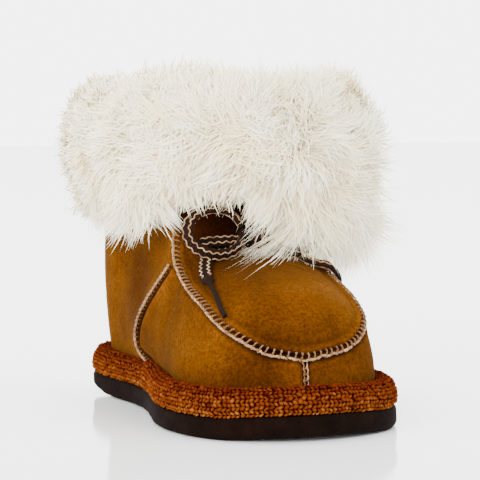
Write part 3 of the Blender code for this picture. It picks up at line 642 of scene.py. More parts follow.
# %% [markdown]
# ### Knitting yarn and wool
#
# The tape round the sole is knitted from loose orange yarn, darker and redder where the
# light doesn't reach between the stitches. Sheep's wool is white at its tips and creamy
# at its roots. A hair's UV map tells the shader where it is: the first number is its
# tuft's shade, and the second runs from root to tip.

# %% Yarn and wool
def make_yarn():
    """Woollen yarn, with painted rust-red shade in the depth and painted orange light where it
    stands out.

    The mesh's own number holds each wale's and each stroke's painted light, and noise makes
    the dye uneven from stitch to stitch.
    """
    material, tree, shader = new_material("knitted_tape", 0.95, specular=0.02)
    place = place_node(tree)
    uneven = calculate(tree, "MULTIPLY", noise(tree, place, 520.0, 5.0, 0.7), 0.46)
    dye_and_painted_light = calculate(tree, "ADD", read_attribute(tree, "dye_and_painted_light"), uneven)
    color = ramp(tree, dye_and_painted_light, [(0.22, (0.028, 0.0018, 0.0006)), (0.48, (0.060, 0.0075, 0.0010)),
                              (0.78, (0.108, 0.0228, 0.0020)), (1.00, (0.205, 0.0670, 0.0125))])
    tree.links.new(color, shader.inputs["Base Color"])
    bump(tree, shader, noise(tree, place, 3800.0, 2.0), 0.00012, 0.6)
    return material


def make_wool():
    """Long wool: creamy at the root, white at the tip, each lock a little different."""
    material, tree, shader = new_material("wool", 0.95, sheen=0.15, specular=0.1)
    split = tree.nodes.new("ShaderNodeSeparateXYZ")
    tree.links.new(place_node(tree, "UV"), split.inputs[0])
    tips = ramp(tree, split.outputs[1], [(0.0, (0.80, 0.56, 0.25)), (0.34, (0.96, 0.835, 0.54)),
                                         (0.85, (0.99, 0.95, 0.78))])
    locks = ramp(tree, split.outputs[0], [(0.0, (0.96, 0.87, 0.66)), (0.7, (1.0, 1.0, 1.0))])
    tree.links.new(blend_colors(tree, "MULTIPLY", 0.8, tips, locks), shader.inputs["Base Color"])
    return material


def make_felt(name, light, dark):
    """Short matted wool for the lining, the insole and the skin under the cuff's locks."""
    material, tree, shader = new_material(name, 0.95, sheen=0.2, specular=0.1)
    place = place_node(tree)
    color = ramp(tree, noise(tree, place, 300.0, 5.0, 0.65), [(0.3, dark), (0.7, light)])
    tree.links.new(color, shader.inputs["Base Color"])
    bump(tree, shader, noise(tree, place, 900.0, 5.0, 0.7), 0.0006, 0.7)
    return material


YARN = make_yarn()
WOOL = make_wool()
FELT = make_felt("insole_felt", (0.80, 0.74, 0.62), (0.58, 0.50, 0.38))
FLEECE = make_felt("fleece", (0.94, 0.90, 0.80), (0.86, 0.78, 0.62))
print("materials:", len(bpy.data.materials))

# %% [markdown]
# ## The lace
#
# The lace is one flat braid, 3.4 mm wide, with two cream zigzag threads near its edges on
# both faces. It runs across the throat and is tied in a bow in front. The four free
# parts of the bow are cords of their own: two loops that go back into the knot, and two
# ends. The inner end lies down along the apron, beside the seam. The outer end goes over
# the seam and hangs down the wall. Halfway along, both narrow to a plain dark tip.

# %% Lace sizes
LACE_WIDTH, LACE_THICKNESS, LACE_STATION, LACE_LIFT = 3.4, 1.5, 5.45, 1.2
TIP_WIDTH, TIP_FROM, THREAD_UNTIL = 1.3, 0.40, 0.46
ZIGZAG_PLACE, ZIGZAG_SWING, ZIGZAG_PITCH, ZIGZAG_RADIUS = 0.98, 0.34, 2.0, 0.17
KNOT_PLACE, KNOT_SIZE = np.array((-1.0, -17.0, 46.6)), np.array((8.6, 5.6, 6.0))
LOOP_WIDTH, LOOP_HEIGHT, LOOP_LEAN, LOOP_GAP = 15.5, 12.0, 0.32, 24.0
LOOP_OFFSET = (10.4, 0.0, 1.0)
INNER_END_ROUTE = np.array([
    # station, share across the apron, lift above the suede
    (4.72, 0.185, 1.15), (4.47, 0.160, 1.10), (4.00, 0.122, 1.10), (3.50, 0.104, 1.15),
    (3.00, 0.088, 1.30), (2.55, 0.066, 1.70), (2.10, 0.044, 2.10)])
OUTER_END_ON_APRON = np.array([
    (4.72, 0.815, 1.15), (4.47, 0.840, 1.10), (4.32, 0.890, 1.40), (4.22, 0.950, 2.10)])
OUTER_END_ON_WALL = np.array([
    # station, share up the wall, lift above the suede
    (4.20, 0.96, 2.10), (4.18, 0.86, 1.45), (4.18, 0.74, 1.20), (4.18, 0.62, 1.10),
    (4.18, 0.45, 1.10)])


def zigzag(path, facing, height, place):
    """A thread that zigzags on one face of a band.

    It runs place to one side of the band's middle, plus the swing times a triangle wave
    of the thread's pitch along the band, at the height of the band's face.
    """
    way = way_along(path)
    count = max(8, int(way[-1] / ZIGZAG_PITCH * 6))
    at = np.linspace(0.02, 0.98, count) * way[-1]
    line, front = read_along(path, way, at), unit(read_along(facing, way, at))
    along = unit(np.gradient(line, axis=0))
    across = unit(np.cross(along, front))
    wave = 2.0 * np.abs(2.0 * ((at / ZIGZAG_PITCH) % 1.0) - 1.0) - 1.0
    offset = place + ZIGZAG_SWING * wave
    sunk = height * (1.0 - 0.35 * (np.abs(offset) / (0.5 * LACE_WIDTH)) ** 3)
    thread = line + across * offset[:, None] + front * np.reshape(sunk, (-1, 1))
    return tube_mesh(thread[None], front[None], ZIGZAG_RADIUS, ZIGZAG_RADIUS * 0.75, sides=5)


def braid_piece(name, path, facing, width=None, plain_from=None):
    """A flat braid along a path with its zigzag threads, width a number for each point.

    The threads stop at the point plain_from.
    """
    half = 0.5 * (np.full(len(path), LACE_WIDTH) if width is None else width)
    thick = 0.5 * LACE_THICKNESS * np.clip(half / (0.5 * LACE_WIDTH), 0.72, 1.0)
    parts = [(tube_mesh(path[None], facing[None], half[None], thick[None], 16, 0.8), 0)]
    count = len(path) if plain_from is None else plain_from
    for face in (-1.0, 1.0):
        for edge in (-1.0, 1.0):
            parts.append((zigzag(path[:count], face * facing[:count], 0.5 * LACE_THICKNESS,
                                 edge * ZIGZAG_PLACE), 1))
    return join_tubes(name, parts, [BRAID, CREAM_THREAD])


print(f"lace: {LACE_WIDTH} mm wide and {LACE_THICKNESS} mm thick")

# %% The bow's two loops
def loop_line(side, count=72):
    """One loop: an open oval that leans back, its two ends drawn into the knot."""
    turn = np.radians(np.linspace(LOOP_GAP, 360.0 - LOOP_GAP, count))
    outwards = np.array([side, 0.0, 0.0])
    upwards = unit(np.array([0.0, LOOP_LEAN, 1.0]))
    middle = KNOT_PLACE + (side * LOOP_OFFSET[0], LOOP_OFFSET[1], LOOP_OFFSET[2])
    radial = (-np.outer(np.cos(turn), outwards) * LOOP_WIDTH
              - np.outer(np.sin(turn), upwards) * LOOP_HEIGHT) * 0.5
    facing = unit(unit(radial) + 0.72 * unit(np.array([0.0, -1.0, LOOP_LEAN])))
    line = middle + radial
    # near the knot the oval narrows, as both parts come out of the same turn of lace
    pull = hump(np.minimum(turn, 2 * np.pi - turn) - np.radians(LOOP_GAP), 0.35)[:, None]
    target = KNOT_PLACE + np.array([side * 2.6, 0.6, 0.4])
    return line + (target - line) * pull * 0.42, facing


for side, word in ((-1, "medial"), (1, "lateral")):
    path, facing = loop_line(side)
    piece = braid_piece("loop_" + word, path, facing)
    length = way_along(path)[-1] * MM
    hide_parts("lace_loop_" + word)
    print(f"loop on the {word} side is {length / MM:.1f} mm of lace")

# %% The bow's two ends
def inner_end_line(count=60):
    """The inner end: a spline over the apron, its tip lying against the seam."""
    places = np.linspace(0, len(INNER_END_ROUTE) - 1, count)
    u, w, lift = spline(INNER_END_ROUTE, places).T
    facing = apron_normal(u, w)
    return apron(u, w) + facing * lift[:, None], facing


def outer_end_line(count=60):
    """The outer end: a spline through points over the outer seam and down the wall."""
    u, w, lift = OUTER_END_ON_APRON.T
    wall_u, v, wall_lift = OUTER_END_ON_WALL.T
    facing = np.concatenate([apron_normal(u, w), wall_normal(1, wall_u, v)])
    route = (np.concatenate([apron(u, w), side_wall(1, wall_u, v)])
             + facing * np.concatenate([lift, wall_lift])[:, None])
    places = np.linspace(0, len(route) - 1, count)
    return spline(route, places), unit(spline(facing, places))


for word, (path, facing) in (("medial", inner_end_line()), ("lateral", outer_end_line())):
    share = way_along(path) / way_along(path)[-1]
    width = LACE_WIDTH - (LACE_WIDTH - TIP_WIDTH) * smooth_step((share - TIP_FROM) / 0.1)
    piece = braid_piece("end_" + word, path, facing, width, int(THREAD_UNTIL * len(path)))
    length = way_along(path)[-1] * MM
    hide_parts("lace_end_" + word)
    print(f"end on the {word} side is {length / MM:.1f} mm of lace")

# %% [markdown]
# The knot is a turn of the same braid pulled tight round the crossing, so it is a small
# dark ball with a band round it. The bar across the throat goes down through two holes.

# %% Knot and bar
def ball_points(middle, size, rows=20, columns=28):
    """Points of an egg: rows from pole to pole, without the poles."""
    up = np.linspace(-0.5, 0.5, rows + 2)[1:-1, None] * np.pi
    turn = np.arange(columns)[None, :] * 2.0 * np.pi / columns
    shape = np.stack([np.cos(up) * np.cos(turn), np.cos(up) * np.sin(turn),
                      np.broadcast_to(np.sin(up), (rows, columns))], axis=-1)
    return middle + 0.5 * size * shape


def ball_mesh(points):
    """Quads between the rows and a fan at each pole, with its UVs."""
    rows, columns = points.shape[:2]
    quads, places = grid_faces(rows, columns, close_columns=True)
    ring = np.arange(columns)
    after = (ring + 1) % columns
    south = np.full(columns, rows * columns)
    top = (rows - 1) * columns
    fans = np.concatenate([np.stack([south, after, ring], -1),
                           np.stack([south + 1, top + ring, top + after], -1)])
    poles = [points[0].mean(axis=0), points[-1].mean(axis=0)]
    all_points = np.concatenate([points.reshape(-1, 3), poles])
    uv = np.concatenate([places.reshape(-1, 2) * (0.6, 0.04), np.zeros((fans.size, 2))])
    return all_points, quads, fans, uv


WRAP_RADII, WRAP_SWAY, WRAP_HALF_WIDTH, WRAP_HALF_HEIGHT = (2.7, 2.95), 0.35, 1.75, 0.62
turn = np.linspace(0.0, 2.0 * np.pi, 60)
wrap_facing = np.stack([0 * turn, WRAP_RADII[0] * np.cos(turn), WRAP_RADII[1] * np.sin(turn)], -1)
wrap = KNOT_PLACE + wrap_facing + np.outer(WRAP_SWAY * np.sin(2 * turn), (1.0, 0.0, 0.0))
wrap_facing = unit(wrap_facing)
parts = [(ball_mesh(ball_points(KNOT_PLACE, KNOT_SIZE * (1.0, 0.9, 0.9))), 0),
         (tube_mesh(wrap[None], wrap_facing[None], WRAP_HALF_WIDTH, WRAP_HALF_HEIGHT, 14, 0.8), 0)]
for edge in (-1.0, 1.0):
    parts.append((zigzag(wrap, wrap_facing, WRAP_HALF_HEIGHT, edge * 0.95), 1))
knot = join_tubes("bow_knot", parts, [BRAID, CREAM_THREAD])
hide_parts("lace_knot")

HOLES, DIVE = (0.13, 0.87), 2.6
w = np.linspace(*HOLES, 60)
station = np.full(60, LACE_STATION)
facing = apron_normal(station, w)
dive = DIVE * hump(np.minimum(w - HOLES[0], HOLES[1] - w), 0.035)
bar = braid_piece("lace_across", apron(station, w) + facing * (LACE_LIFT - dive)[:, None], facing)
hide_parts("lace_bar")

# %% [markdown]
# ## The foam-rubber sole
#
# The sole is cut from one sheet, so its side is upright, with a rounded lower edge and a
# small chamfer at the top. It is worked out as rings: each is the outline moved inwards,
# at its own height. Two grids close it, and the lower one has shallow wavy grooves.

# %% Sole
def sole_ring(inset, shares):
    """Closed ring of the outline: the inner side from toe to heel, then the outer side back."""
    medial, lateral = on_outline(-1, inset, shares), on_outline(+1, inset, shares)
    return np.concatenate([medial, lateral[-2:0:-1]])


def slab_points(sections, shares):
    """Rings of a slab: each section is an inset and a function for the height."""
    rings = []
    for inset, height in sections:
        ring = sole_ring(inset, shares)
        rings.append(np.column_stack([ring, height(ring[:, 1])]))
    return np.array(rings)


def across_grid(ring, columns):
    """Grid that fills a ring: straight lines from its inner side to its outer side."""
    half = len(ring) // 2
    inner, outer = ring[:half + 1], np.concatenate([ring[half:], ring[:1]])[::-1]
    share = np.linspace(0.0, 1.0, columns)[None, :, None]
    return inner[:, None] * (1.0 - share) + outer[:, None] * share


def merge_piece(piece):
    """Weld points that lie on each other, so that a piece made of grids is closed."""
    work = bmesh.new()
    work.from_mesh(piece.data)
    bmesh.ops.remove_doubles(work, verts=work.verts, dist=0.00002)
    work.to_mesh(piece.data)
    work.free()


def slab_piece(name, rings, bottom, top, material):
    """Rings with two grids that close them, welded into one closed piece."""
    count = rings.shape[1]
    faces, places = grid_faces(rings.shape[0], count, close_columns=True)
    points, all_faces, uv = [rings.reshape(-1, 3)], [faces[:, ::-1]], [places[:, ::-1]]
    total = rings.shape[0] * count
    for grid, upwards in ((bottom, False), (top, True)):
        more, where = grid_faces(*grid.shape[:2])
        keep = more + total
        all_faces.append(keep[:, ::-1] if upwards else keep)
        uv.append(where[:, ::-1] if upwards else where)
        points.append(grid.reshape(-1, 3))
        total += grid.shape[0] * grid.shape[1]
    piece = make_piece(name, np.concatenate(points), [np.concatenate(all_faces)], [material],
                       uv=np.concatenate(uv) * 0.5)
    merge_piece(piece)
    return piece


SOLE_RINGS, SOLE_COLUMNS, GROOVE_PITCH, GROOVE_DEPTH = 121, 41, 4.0, 0.45
LOWER_EDGE = ((2.4, 0.0), (1.55, 0.06), (0.9, 0.22), (0.42, 0.46), (0.14, 0.85))
shares = np.linspace(0.0, 1.0, SOLE_RINGS)
# the rounded lower edge, the upright side and the chamfer: an inset and a height for each
sections = [(inset, (lambda y, h=h: ground_gap(y) + h)) for inset, h in LOWER_EDGE]
sections += [(0.0, lambda y, s=s: ground_gap(y) + s * (deck(y) - ground_gap(y)))
             for s in (0.30, 0.45, 0.60, 0.74)]
sections += [(0.08, lambda y: deck(y) - 0.75), (0.25, lambda y: deck(y) - 0.35),
             (0.6, deck)]
rings = slab_points(sections, shares)
side_wave = 0.10 * np.sin(rings[..., 1] * 0.55 + rings[..., 2]) + 0.06 * np.sin(rings[..., 0])
rings[3:9, :, 0] += (side_wave * np.sign(rings[..., 0]))[3:9] * 0.6
bottom = across_grid(rings[0], SOLE_COLUMNS)
column, row = np.arange(SOLE_COLUMNS), np.arange(SOLE_RINGS)
inside = smooth_step((np.minimum(column, column[::-1]) - 2) / 3.0)[None, :]
tips = smooth_step((np.minimum(row, row[::-1]) - 4) / 5.0)[:, None]
wavy = (bottom[..., 1] + 0.8 * np.sin(bottom[..., 0] * 0.9)) / GROOVE_PITCH
groove = hump(np.abs(wavy % 1.0 - 0.5), 0.16)
bottom[..., 2] += GROOVE_DEPTH * groove * inside * tips
sole = slab_piece("sole", rings, bottom, across_grid(rings[-1], 17), FOAM)
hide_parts("outsole")

# %% Insole
reach = UPPER_INSET + UPPER_WALL + 0.8
shares = np.linspace(0.0, 1.0, 71)
sections = [(reach + 0.2, lambda y: deck(y) + CLEARANCE), (reach, lambda y: deck(y) + 1.1),
            (reach, lambda y: deck(y) + 2.1), (reach + 0.5, lambda y: deck(y) + 2.45),
            (reach + 1.2, lambda y: deck(y) + 2.6)]
rings = slab_points(sections, shares)
top = across_grid(rings[-1], 31)
dents = 0.22 * np.sin(top[..., 0] * 1.3 + np.sin(top[..., 1])) * np.sin(top[..., 1] * 1.1)
edge_fade = np.ones(top.shape[:2])
edge_fade[:, [0, -1]], edge_fade[[0, -1]] = 0.0, 0.0
top[..., 2] += dents * edge_fade
insole = slab_piece("wool_insole", rings, across_grid(rings[0], 9), top, FELT)
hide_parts("insole")

# %% [markdown]
# ## The line of the apron's seam
#
# The two edges of suede stand up against each other and are whip-stitched. One line
# with its directions serves the edges, the puckers and every stitch: along the seam,
# down the wall, inwards over the apron, and outwards from each of the two surfaces. The
# surfaces turn sharply at the seam, so their directions are softened with a bell.

# %% The seam's line
STITCH = 1.75
AT_ONCE = 4000             # points compared with a line at once, which keeps the arrays small


def seam_line(count=900):
    """Points and directions along the seam, from the inner collar round the toe and back."""
    u = np.linspace(0.0, COLLAR_STATION - 0.6, 1400)
    signed = np.concatenate([-u[::-1], u[1:]])
    points = np.concatenate([side_wall(-1, u[::-1], np.ones_like(u)),
                             side_wall(+1, u[1:], np.ones(len(u) - 1))])
    way = way_along(points)
    at = np.linspace(0.0, way[-1], count)
    signed = np.interp(at, way, signed)
    points = read_along(points, way, at)
    u = np.abs(signed)
    near = np.clip(u, 0.25, None)
    wall = np.where((signed < 0)[:, None], wall_normal(-1, near, np.full(count, 0.98)),
                    wall_normal(+1, near, np.full(count, 0.98)))
    roof = apron_normal(near, np.where(signed < 0, 0.035, 0.965))
    window = np.exp(-np.linspace(-2.0, 2.0, 41) ** 2)
    window /= window.sum()

    def soften(values):
        ends = np.repeat(values[:1], 20, 0), np.repeat(values[-1:], 20, 0)
        padded = np.concatenate([ends[0], values, ends[1]])
        return np.stack([np.convolve(padded[:, k], window, "valid") for k in range(3)], -1)

    wall, roof = unit(soften(wall)), unit(soften(roof))
    along = unit(np.gradient(soften(points), axis=0))
    return {"way": at, "points": points, "station": u, "side": np.sign(signed), "along": along,
            "wall": wall, "roof": roof, "down": unit(np.cross(along, wall)),
            "inwards": unit(np.cross(roof, along)), "up": unit(wall + roof)}


SEAM = seam_line()
SEAM_LENGTH = SEAM["way"][-1]
print(f"apron seam: {SEAM_LENGTH:.0f} mm, {int(SEAM_LENGTH / STITCH)} stitches")


def on_seam(way, key):
    """The seam's points or one of its directions at distances along it."""
    return read_along(SEAM[key], SEAM["way"], way)


def pinch(way, width):
    """1 under each stitch and 0 halfway between two: a bell for every stitch."""
    return hump(((way / STITCH) % 1.0 - 0.5) * STITCH, width)


def to_seam(points):
    """Distance from points to the seam, and the place along it that is nearest."""
    flat = points.reshape(-1, 3)
    line = SEAM["points"][::2]
    distance, nearest = np.empty(len(flat)), np.empty(len(flat), int)
    for start in range(0, len(flat), AT_ONCE):
        some = flat[start:start + AT_ONCE]
        gaps = np.linalg.norm(some[:, None] - line[None], axis=2)
        nearest[start:start + AT_ONCE] = gaps.argmin(axis=1)
        distance[start:start + AT_ONCE] = gaps.min(axis=1)
    return (distance.reshape(points.shape[:2]),
            SEAM["way"][::2][nearest].reshape(points.shape[:2]))

# %% [markdown]
# ## The suede
#
# The walls are one grid that runs once round the shoe, and the apron is another. Each
# point then moves along its own normal by the relief: a groove at the toe seam, a ridge
# and a hollow at the side seams, puckers under the stitches, and soft folds where a foot
# bends the shoe. The relief is kept on the mesh, where the suede's material reads it and
# paints shade into the hollows. So is a second number of painted shade: a painted shadow
# under the wool, painted shade just above the tape, and painted shade on the outer toe
# piece, the side away from the key lamp.

# %% Relief helpers
def grid_normals(points, close_columns=False):
    """Normals of a grid of points: the cross product of its steps along and up."""
    if close_columns:
        across = np.roll(points, -1, axis=1) - np.roll(points, 1, axis=1)
    else:
        across = np.gradient(points, axis=1)
    return unit(np.cross(across, np.gradient(points, axis=0)))


def soft_waves(points, length, seed, count=7):
    """Gentle unevenness: a sum of sine waves of about one length in random directions."""
    random = np.random.default_rng(seed)
    total = np.zeros(points.shape[:-1])
    for _ in range(count):
        direction = unit(random.normal(size=3))
        pitch = length * random.uniform(0.7, 1.5)
        total += np.sin(points @ direction * 2.0 * np.pi / pitch + random.uniform(0, 6.28))
    return total / count


def even_places(side, count):
    """Stations of columns an equal way apart on a wall, closer together at the seams."""
    u = np.linspace(0.0, HEEL_STATION, 1500)
    line = side_wall(side, u, np.full(1500, 0.55))
    step = np.linalg.norm(np.gradient(line, axis=0), axis=1)
    for seam in (0, SEAM_STATION):
        step = step * (1.0 + 1.6 * hump(u - seam, 0.16))
    step = step * (1.0 + 0.5 * (u < 5.5))
    way = np.cumsum(step)
    way = (way - way[0]) / (way[-1] - way[0])
    return np.interp(np.linspace(0.0, 1.0, count), way, u)


def folds(points, table):
    """Soft folds, each a bell along and across its own line.

    A row is the fold's middle, its direction, half its length, half its width and its
    height, negative for a hollow.
    """
    total = np.zeros(points.shape[:-1])
    for middle, direction, length, width, height in table:
        direction = unit(np.array(direction, float))
        offset = points - np.array(middle, float)
        along = offset @ direction
        away = np.linalg.norm(offset - along[..., None] * direction, axis=-1)
        total += height * hump(along, length) * hump(away, width)
    return total


print("stations of nine even places on the inner wall:", np.round(even_places(-1, 9), 2).tolist())

# %% The side seams' line
SIDE_ROUTE = np.array([
    # station and share of the wall's height, from the top to the foot
    (5.06, 0.955), (5.03, 0.80), (5.00, 0.62), (5.00, 0.45), (4.99, 0.32), (4.93, 0.235),
    (4.78, 0.185), (4.58, 0.165)])


def wall_route(side, route, count):
    """A spline over a wall: points, their outward normals and the directions along them."""
    u, v = spline(route, np.linspace(0, len(route) - 1, 400)).T
    line = side_wall(side, u, v)
    way = way_along(line)
    at = np.linspace(0.0, way[-1], count)
    u, v = np.interp(at, way, u), np.interp(at, way, v)
    line = side_wall(side, u, v)
    return at, line, wall_normal(side, u, v), unit(np.gradient(line, axis=0))


def from_side_seam(points, side):
    """Distance from points to a side seam: positive in front of it, negative behind it."""
    _, line, out, along = wall_route(side, SIDE_ROUTE, 200)
    ahead = unit(np.cross(along, out)) * side
    flat = points.reshape(-1, 3)
    signed = np.empty(len(flat))
    for start in range(0, len(flat), AT_ONCE):
        offset = flat[start:start + AT_ONCE, None] - line[None]
        distance = np.linalg.norm(offset, axis=2)
        nearest = distance.argmin(axis=1)
        which = np.arange(len(nearest))
        front = (offset[which, nearest] * ahead[nearest]).sum(axis=1)
        signed[start:start + AT_ONCE] = np.where(front < 0, -1.0, 1.0) * distance[which, nearest]
    return signed.reshape(points.shape[:2])


print(f"side seam: {wall_route(-1, SIDE_ROUTE, 200)[0][-1]:.1f} mm long")

# %% Walls
WALL_FOLDS = (
    # middle, direction, half length, half width, height
    ((-22.0, -14.0, 26.0), (0.15, -0.5, 1.0), 9.0, 3.0, -0.55),
    ((-25.0, -30.0, 17.0), (0.1, -1.0, 0.25), 10.0, 3.2, 0.45),
    ((-24.0, -22.0, 27.0), (0.1, -1.0, 0.8), 7.0, 2.4, -0.40),
    ((-13.0, -53.0, 15.0), (1.0, -0.3, 0.3), 6.0, 2.6, 0.40),
    ((-20.0, 14.0, 30.0), (0.0, 0.5, 1.0), 12.0, 4.0, -0.5),
    ((-22.0, 30.0, 24.0), (0.0, 1.0, 0.4), 10.0, 3.6, -0.45),
    ((22.0, -14.0, 26.0), (-0.15, -0.5, 1.0), 9.0, 3.0, -0.55),
    ((25.0, -30.0, 17.0), (-0.1, -1.0, 0.25), 10.0, 3.2, 0.45),
    ((21.0, 16.0, 30.0), (0.0, 0.5, 1.0), 12.0, 4.0, -0.5),
    ((22.0, 32.0, 22.0), (0.0, 1.0, -0.4), 10.0, 3.6, -0.45),
    ((0.0, 52.0, 24.0), (1.0, 0.0, 0.1), 10.0, 3.4, -0.45),
)
COLUMNS, ROWS, TOP_ROWS, SUEDE_THICKNESS = 281, 48, 16, 1.5
# rows lie closer together near the apron's seam
rise = np.linspace(0.0, 1.0, ROWS)
heights = 1.0 - (1.0 - rise) ** 1.35
sides = {}
for side in (-1, 1):
    u = even_places(side, COLUMNS)
    grid_u, grid_v = np.meshgrid(u, heights)
    sides[side] = (u, side_wall(side, grid_u, grid_v))
# both walls share their points at the toe and at the heel
for end in (0, -1):
    shared = 0.5 * (sides[-1][1][:, end] + sides[1][1][:, end])
    sides[-1][1][:, end] = shared
    sides[1][1][:, end] = shared
wall = np.concatenate([sides[-1][1][:, ::-1], sides[1][1][:, 1:-1]], axis=1)
station = np.concatenate([sides[-1][0][::-1], sides[1][0][1:-1]])
# the groove of the toe seam, from the way along each row to the toe's column
steps = np.linalg.norm(np.roll(wall, -1, axis=1) - wall, axis=2)
way = np.cumsum(steps, axis=1) - steps
toe_column = COLUMNS - 1
from_toe = np.abs(way - way[:, toe_column:toe_column + 1])
lift = -0.95 * hump(from_toe, 1.0) + 0.4 * hump(from_toe - 2.8, 1.5)
# the ridge and the hollow of both side seams, between the tape and the wool
shown = smooth_step((wall[..., 2] - 7.5) / 3.0) * smooth_step((55.0 - wall[..., 2]) / 6.0)
for side in (-1, 1):
    ahead = from_side_seam(wall, side)
    lift += shown * (0.60 * hump(ahead + 0.6, 0.75) - 1.35 * hump(ahead - 0.95, 0.80)
                     + 0.40 * hump(ahead - 3.3, 1.6))
# the puckers under the apron's seam, which only the top rows lie near
in_front = (station < COLLAR_STATION - 0.6)[None, :]
distance, place = to_seam(wall[-TOP_ROWS:])
close = np.zeros(wall.shape[:2])
close[-TOP_ROWS:] = (0.22 * hump(distance - 2.4, 0.9) * (1.0 - 0.6 * pinch(place, 0.55)) * in_front
                     - 0.55 * hump(distance - 0.8, 0.55) * in_front)
lift += close
# folds and soft waves, which bend the suede but get little of the painted crease shade
lift += folds(wall, WALL_FOLDS) + 0.22 * soft_waves(wall, 19.0, 3) + 0.07 * soft_waves(wall, 6.0, 4)
lift *= smooth_step((wall[..., 2] - 7.0) / 3.0)
# the relief that the suede's painted crease shade reads, with most of the folds left out
relief = lift - 0.85 * folds(wall, WALL_FOLDS) - 0.14 * soft_waves(wall, 19.0, 3)
wall_points = wall + grid_normals(wall, close_columns=True) * lift[..., None]
# painted shadow under the wool, and painted shade just above the tape
under_wool = smooth_step((wall[..., 2] - 47.0) / 7.0)
above_tape = smooth_step((11.0 - wall[..., 2]) / 2.5)
painted_shade = 0.75 * under_wool + 0.35 * above_tape
# a little darker on both walls over the forefoot
painted_shade += 0.16 * smooth_step((-6.0 - wall[..., 1]) / 8.0) * smooth_step((wall[..., 1] + 46.0) / 8.0)
# painted shade on the outer toe piece, from the toe seam to the side seam, the side away from the
# key lamp
outer_half = np.arange(wall.shape[1]) > toe_column
painted_shade += 0.50 * outer_half * smooth_step(from_side_seam(wall, 1) / 0.8)
suede_wall = grid_piece("suede_walls", wall_points, [SUEDE], close_columns=True,
                        attributes={"relief": 0.5 + 0.45 * relief, "painted_shade": painted_shade})
thicken(suede_wall, SUEDE_THICKNESS)
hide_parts("upper")

# %% Apron
APRON_FOLDS = (
    # middle, direction, half length, half width, height
    ((5.0, -20.5, 41.0), (1.0, -0.25, -0.2), 9.0, 0.9, -0.28),
    ((8.0, -23.5, 39.6), (1.0, -0.45, -0.2), 8.0, 0.9, 0.22),
    ((9.5, -26.0, 38.4), (1.0, -0.6, -0.25), 8.0, 1.0, -0.22),
    ((-7.0, -22.0, 40.0), (1.0, 0.3, 0.0), 5.0, 1.3, -0.25),
    ((0.0, -42.0, 34.0), (1.0, 0.1, 0.0), 9.0, 5.0, 0.35),
    ((-1.0, -12.0, 45.0), (1.0, 0.0, 0.0), 12.0, 2.2, -0.5),
)
APRON_ROWS, SEAM_HIDDEN = 211, 56.0      # above that height the wool hides the seam
# points lie closer together beside the seam, where every stitch has a pucker
edge_places = np.array([0.0, 0.006, 0.012, 0.019, 0.026, 0.033, 0.041, 0.05, 0.06, 0.072, 0.086])
across = np.concatenate([edge_places, np.linspace(0.103, 0.897, 44), 1.0 - edge_places[::-1]])
u = np.linspace(0.0, COLLAR_STATION, 1500)
edge = side_wall(-1, u, np.ones(1500))
step = np.linalg.norm(np.gradient(edge, axis=0), axis=1) * (1.0 + 0.8 * (u < 5.6))
u = np.interp(np.linspace(0.0, 1.0, APRON_ROWS), np.cumsum(step) / np.sum(step), u)
u[0] = 0.02
grid_u, grid_w = np.meshgrid(u, across, indexing="ij")
top = apron(grid_u, grid_w)
# a groove at the seam, deeper between two stitches, a roll that swells at every stitch,
# and a shallow hollow behind the roll
distance, place = to_seam(top)
under = pinch(place, 0.46)
lift = (0.62 * hump(distance - 1.9, 0.62) * (0.55 + 0.45 * under)
        - 0.95 * hump(distance - 0.75, 0.62) * (1.0 - 0.35 * under)
        - 0.22 * hump(distance - 3.4, 0.9))
lift *= (top[..., 2] < SEAM_HIDDEN)
lift += folds(top, APRON_FOLDS) + 0.16 * soft_waves(top, 15.0, 8) + 0.05 * soft_waves(top, 5.0, 9)
normals = grid_normals(top)
normals[:4] = unit(normals[4:7].mean(axis=(0, 1)))
apron_points = top + normals * lift[..., None]
# painted shadow towards the cuff, and the whole apron a little darker
painted_shade = 0.20 + 0.75 * smooth_step((top[..., 2] - 42.5) / 4.5)
suede_apron = grid_piece("suede_apron", apron_points, [SUEDE],
                         attributes={"relief": 0.5 + 0.42 * lift, "painted_shade": painted_shade})
thicken(suede_apron, SUEDE_THICKNESS)
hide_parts("upper")

# %% [markdown]
# ## Seams
#
# The cut edge of the sheepskin shows as a cream cord, drawn in by every stitch. It is a
# rope of two strands wound round each other, so that it looks uneven. Each stitch is a
# short golden thread that rises from the wall, crosses both edges at a slant and goes
# down into the apron. All stitches are one array of six points each.

# %% The apron seam's cream edge
def rope(line, up, out, radius, pitch, thickness):
    """Two strands (2, points, 3) wound round a line, opposite each other.

    Each goes once round the line for every pitch of the way along it.
    """
    way = way_along(line)
    turn = way[None] / pitch * 2.0 * np.pi + np.array([[0.0], [np.pi]])
    wound = (line[None] + out[None] * (radius * np.cos(turn))[..., None]
             + up[None] * (radius * np.sin(turn))[..., None])
    return tube_mesh(wound, np.broadcast_to(up, wound.shape), thickness, thickness * 0.9, sides=5)


SEAM_TOP = 54.0            # the stitches go on a little way up under the wool
EDGE_RADIUS, EDGE_THICKNESS = 0.17, 0.19
clear = SEAM["points"][:, 2] < SEAM_TOP
start, stop = SEAM["way"][clear][0], SEAM["way"][clear][-1]
at = np.arange(start, stop, 0.22)
random = np.random.default_rng(21)
rough = np.interp(at, np.linspace(start, stop, 220), random.normal(0.0, 0.11, 220))
line = (on_seam(at, "points") + on_seam(at, "up") * (0.28 + rough)[:, None]
        + on_seam(at, "down") * (0.30 + rough[::-1])[:, None])
edge_rope = rope(line, on_seam(at, "up"), on_seam(at, "inwards"), EDGE_RADIUS, STITCH,
                 (EDGE_THICKNESS + 0.45 * rough)[None])
join_tubes("seam_edge", [(edge_rope, 0)], [CREAM_THREAD])

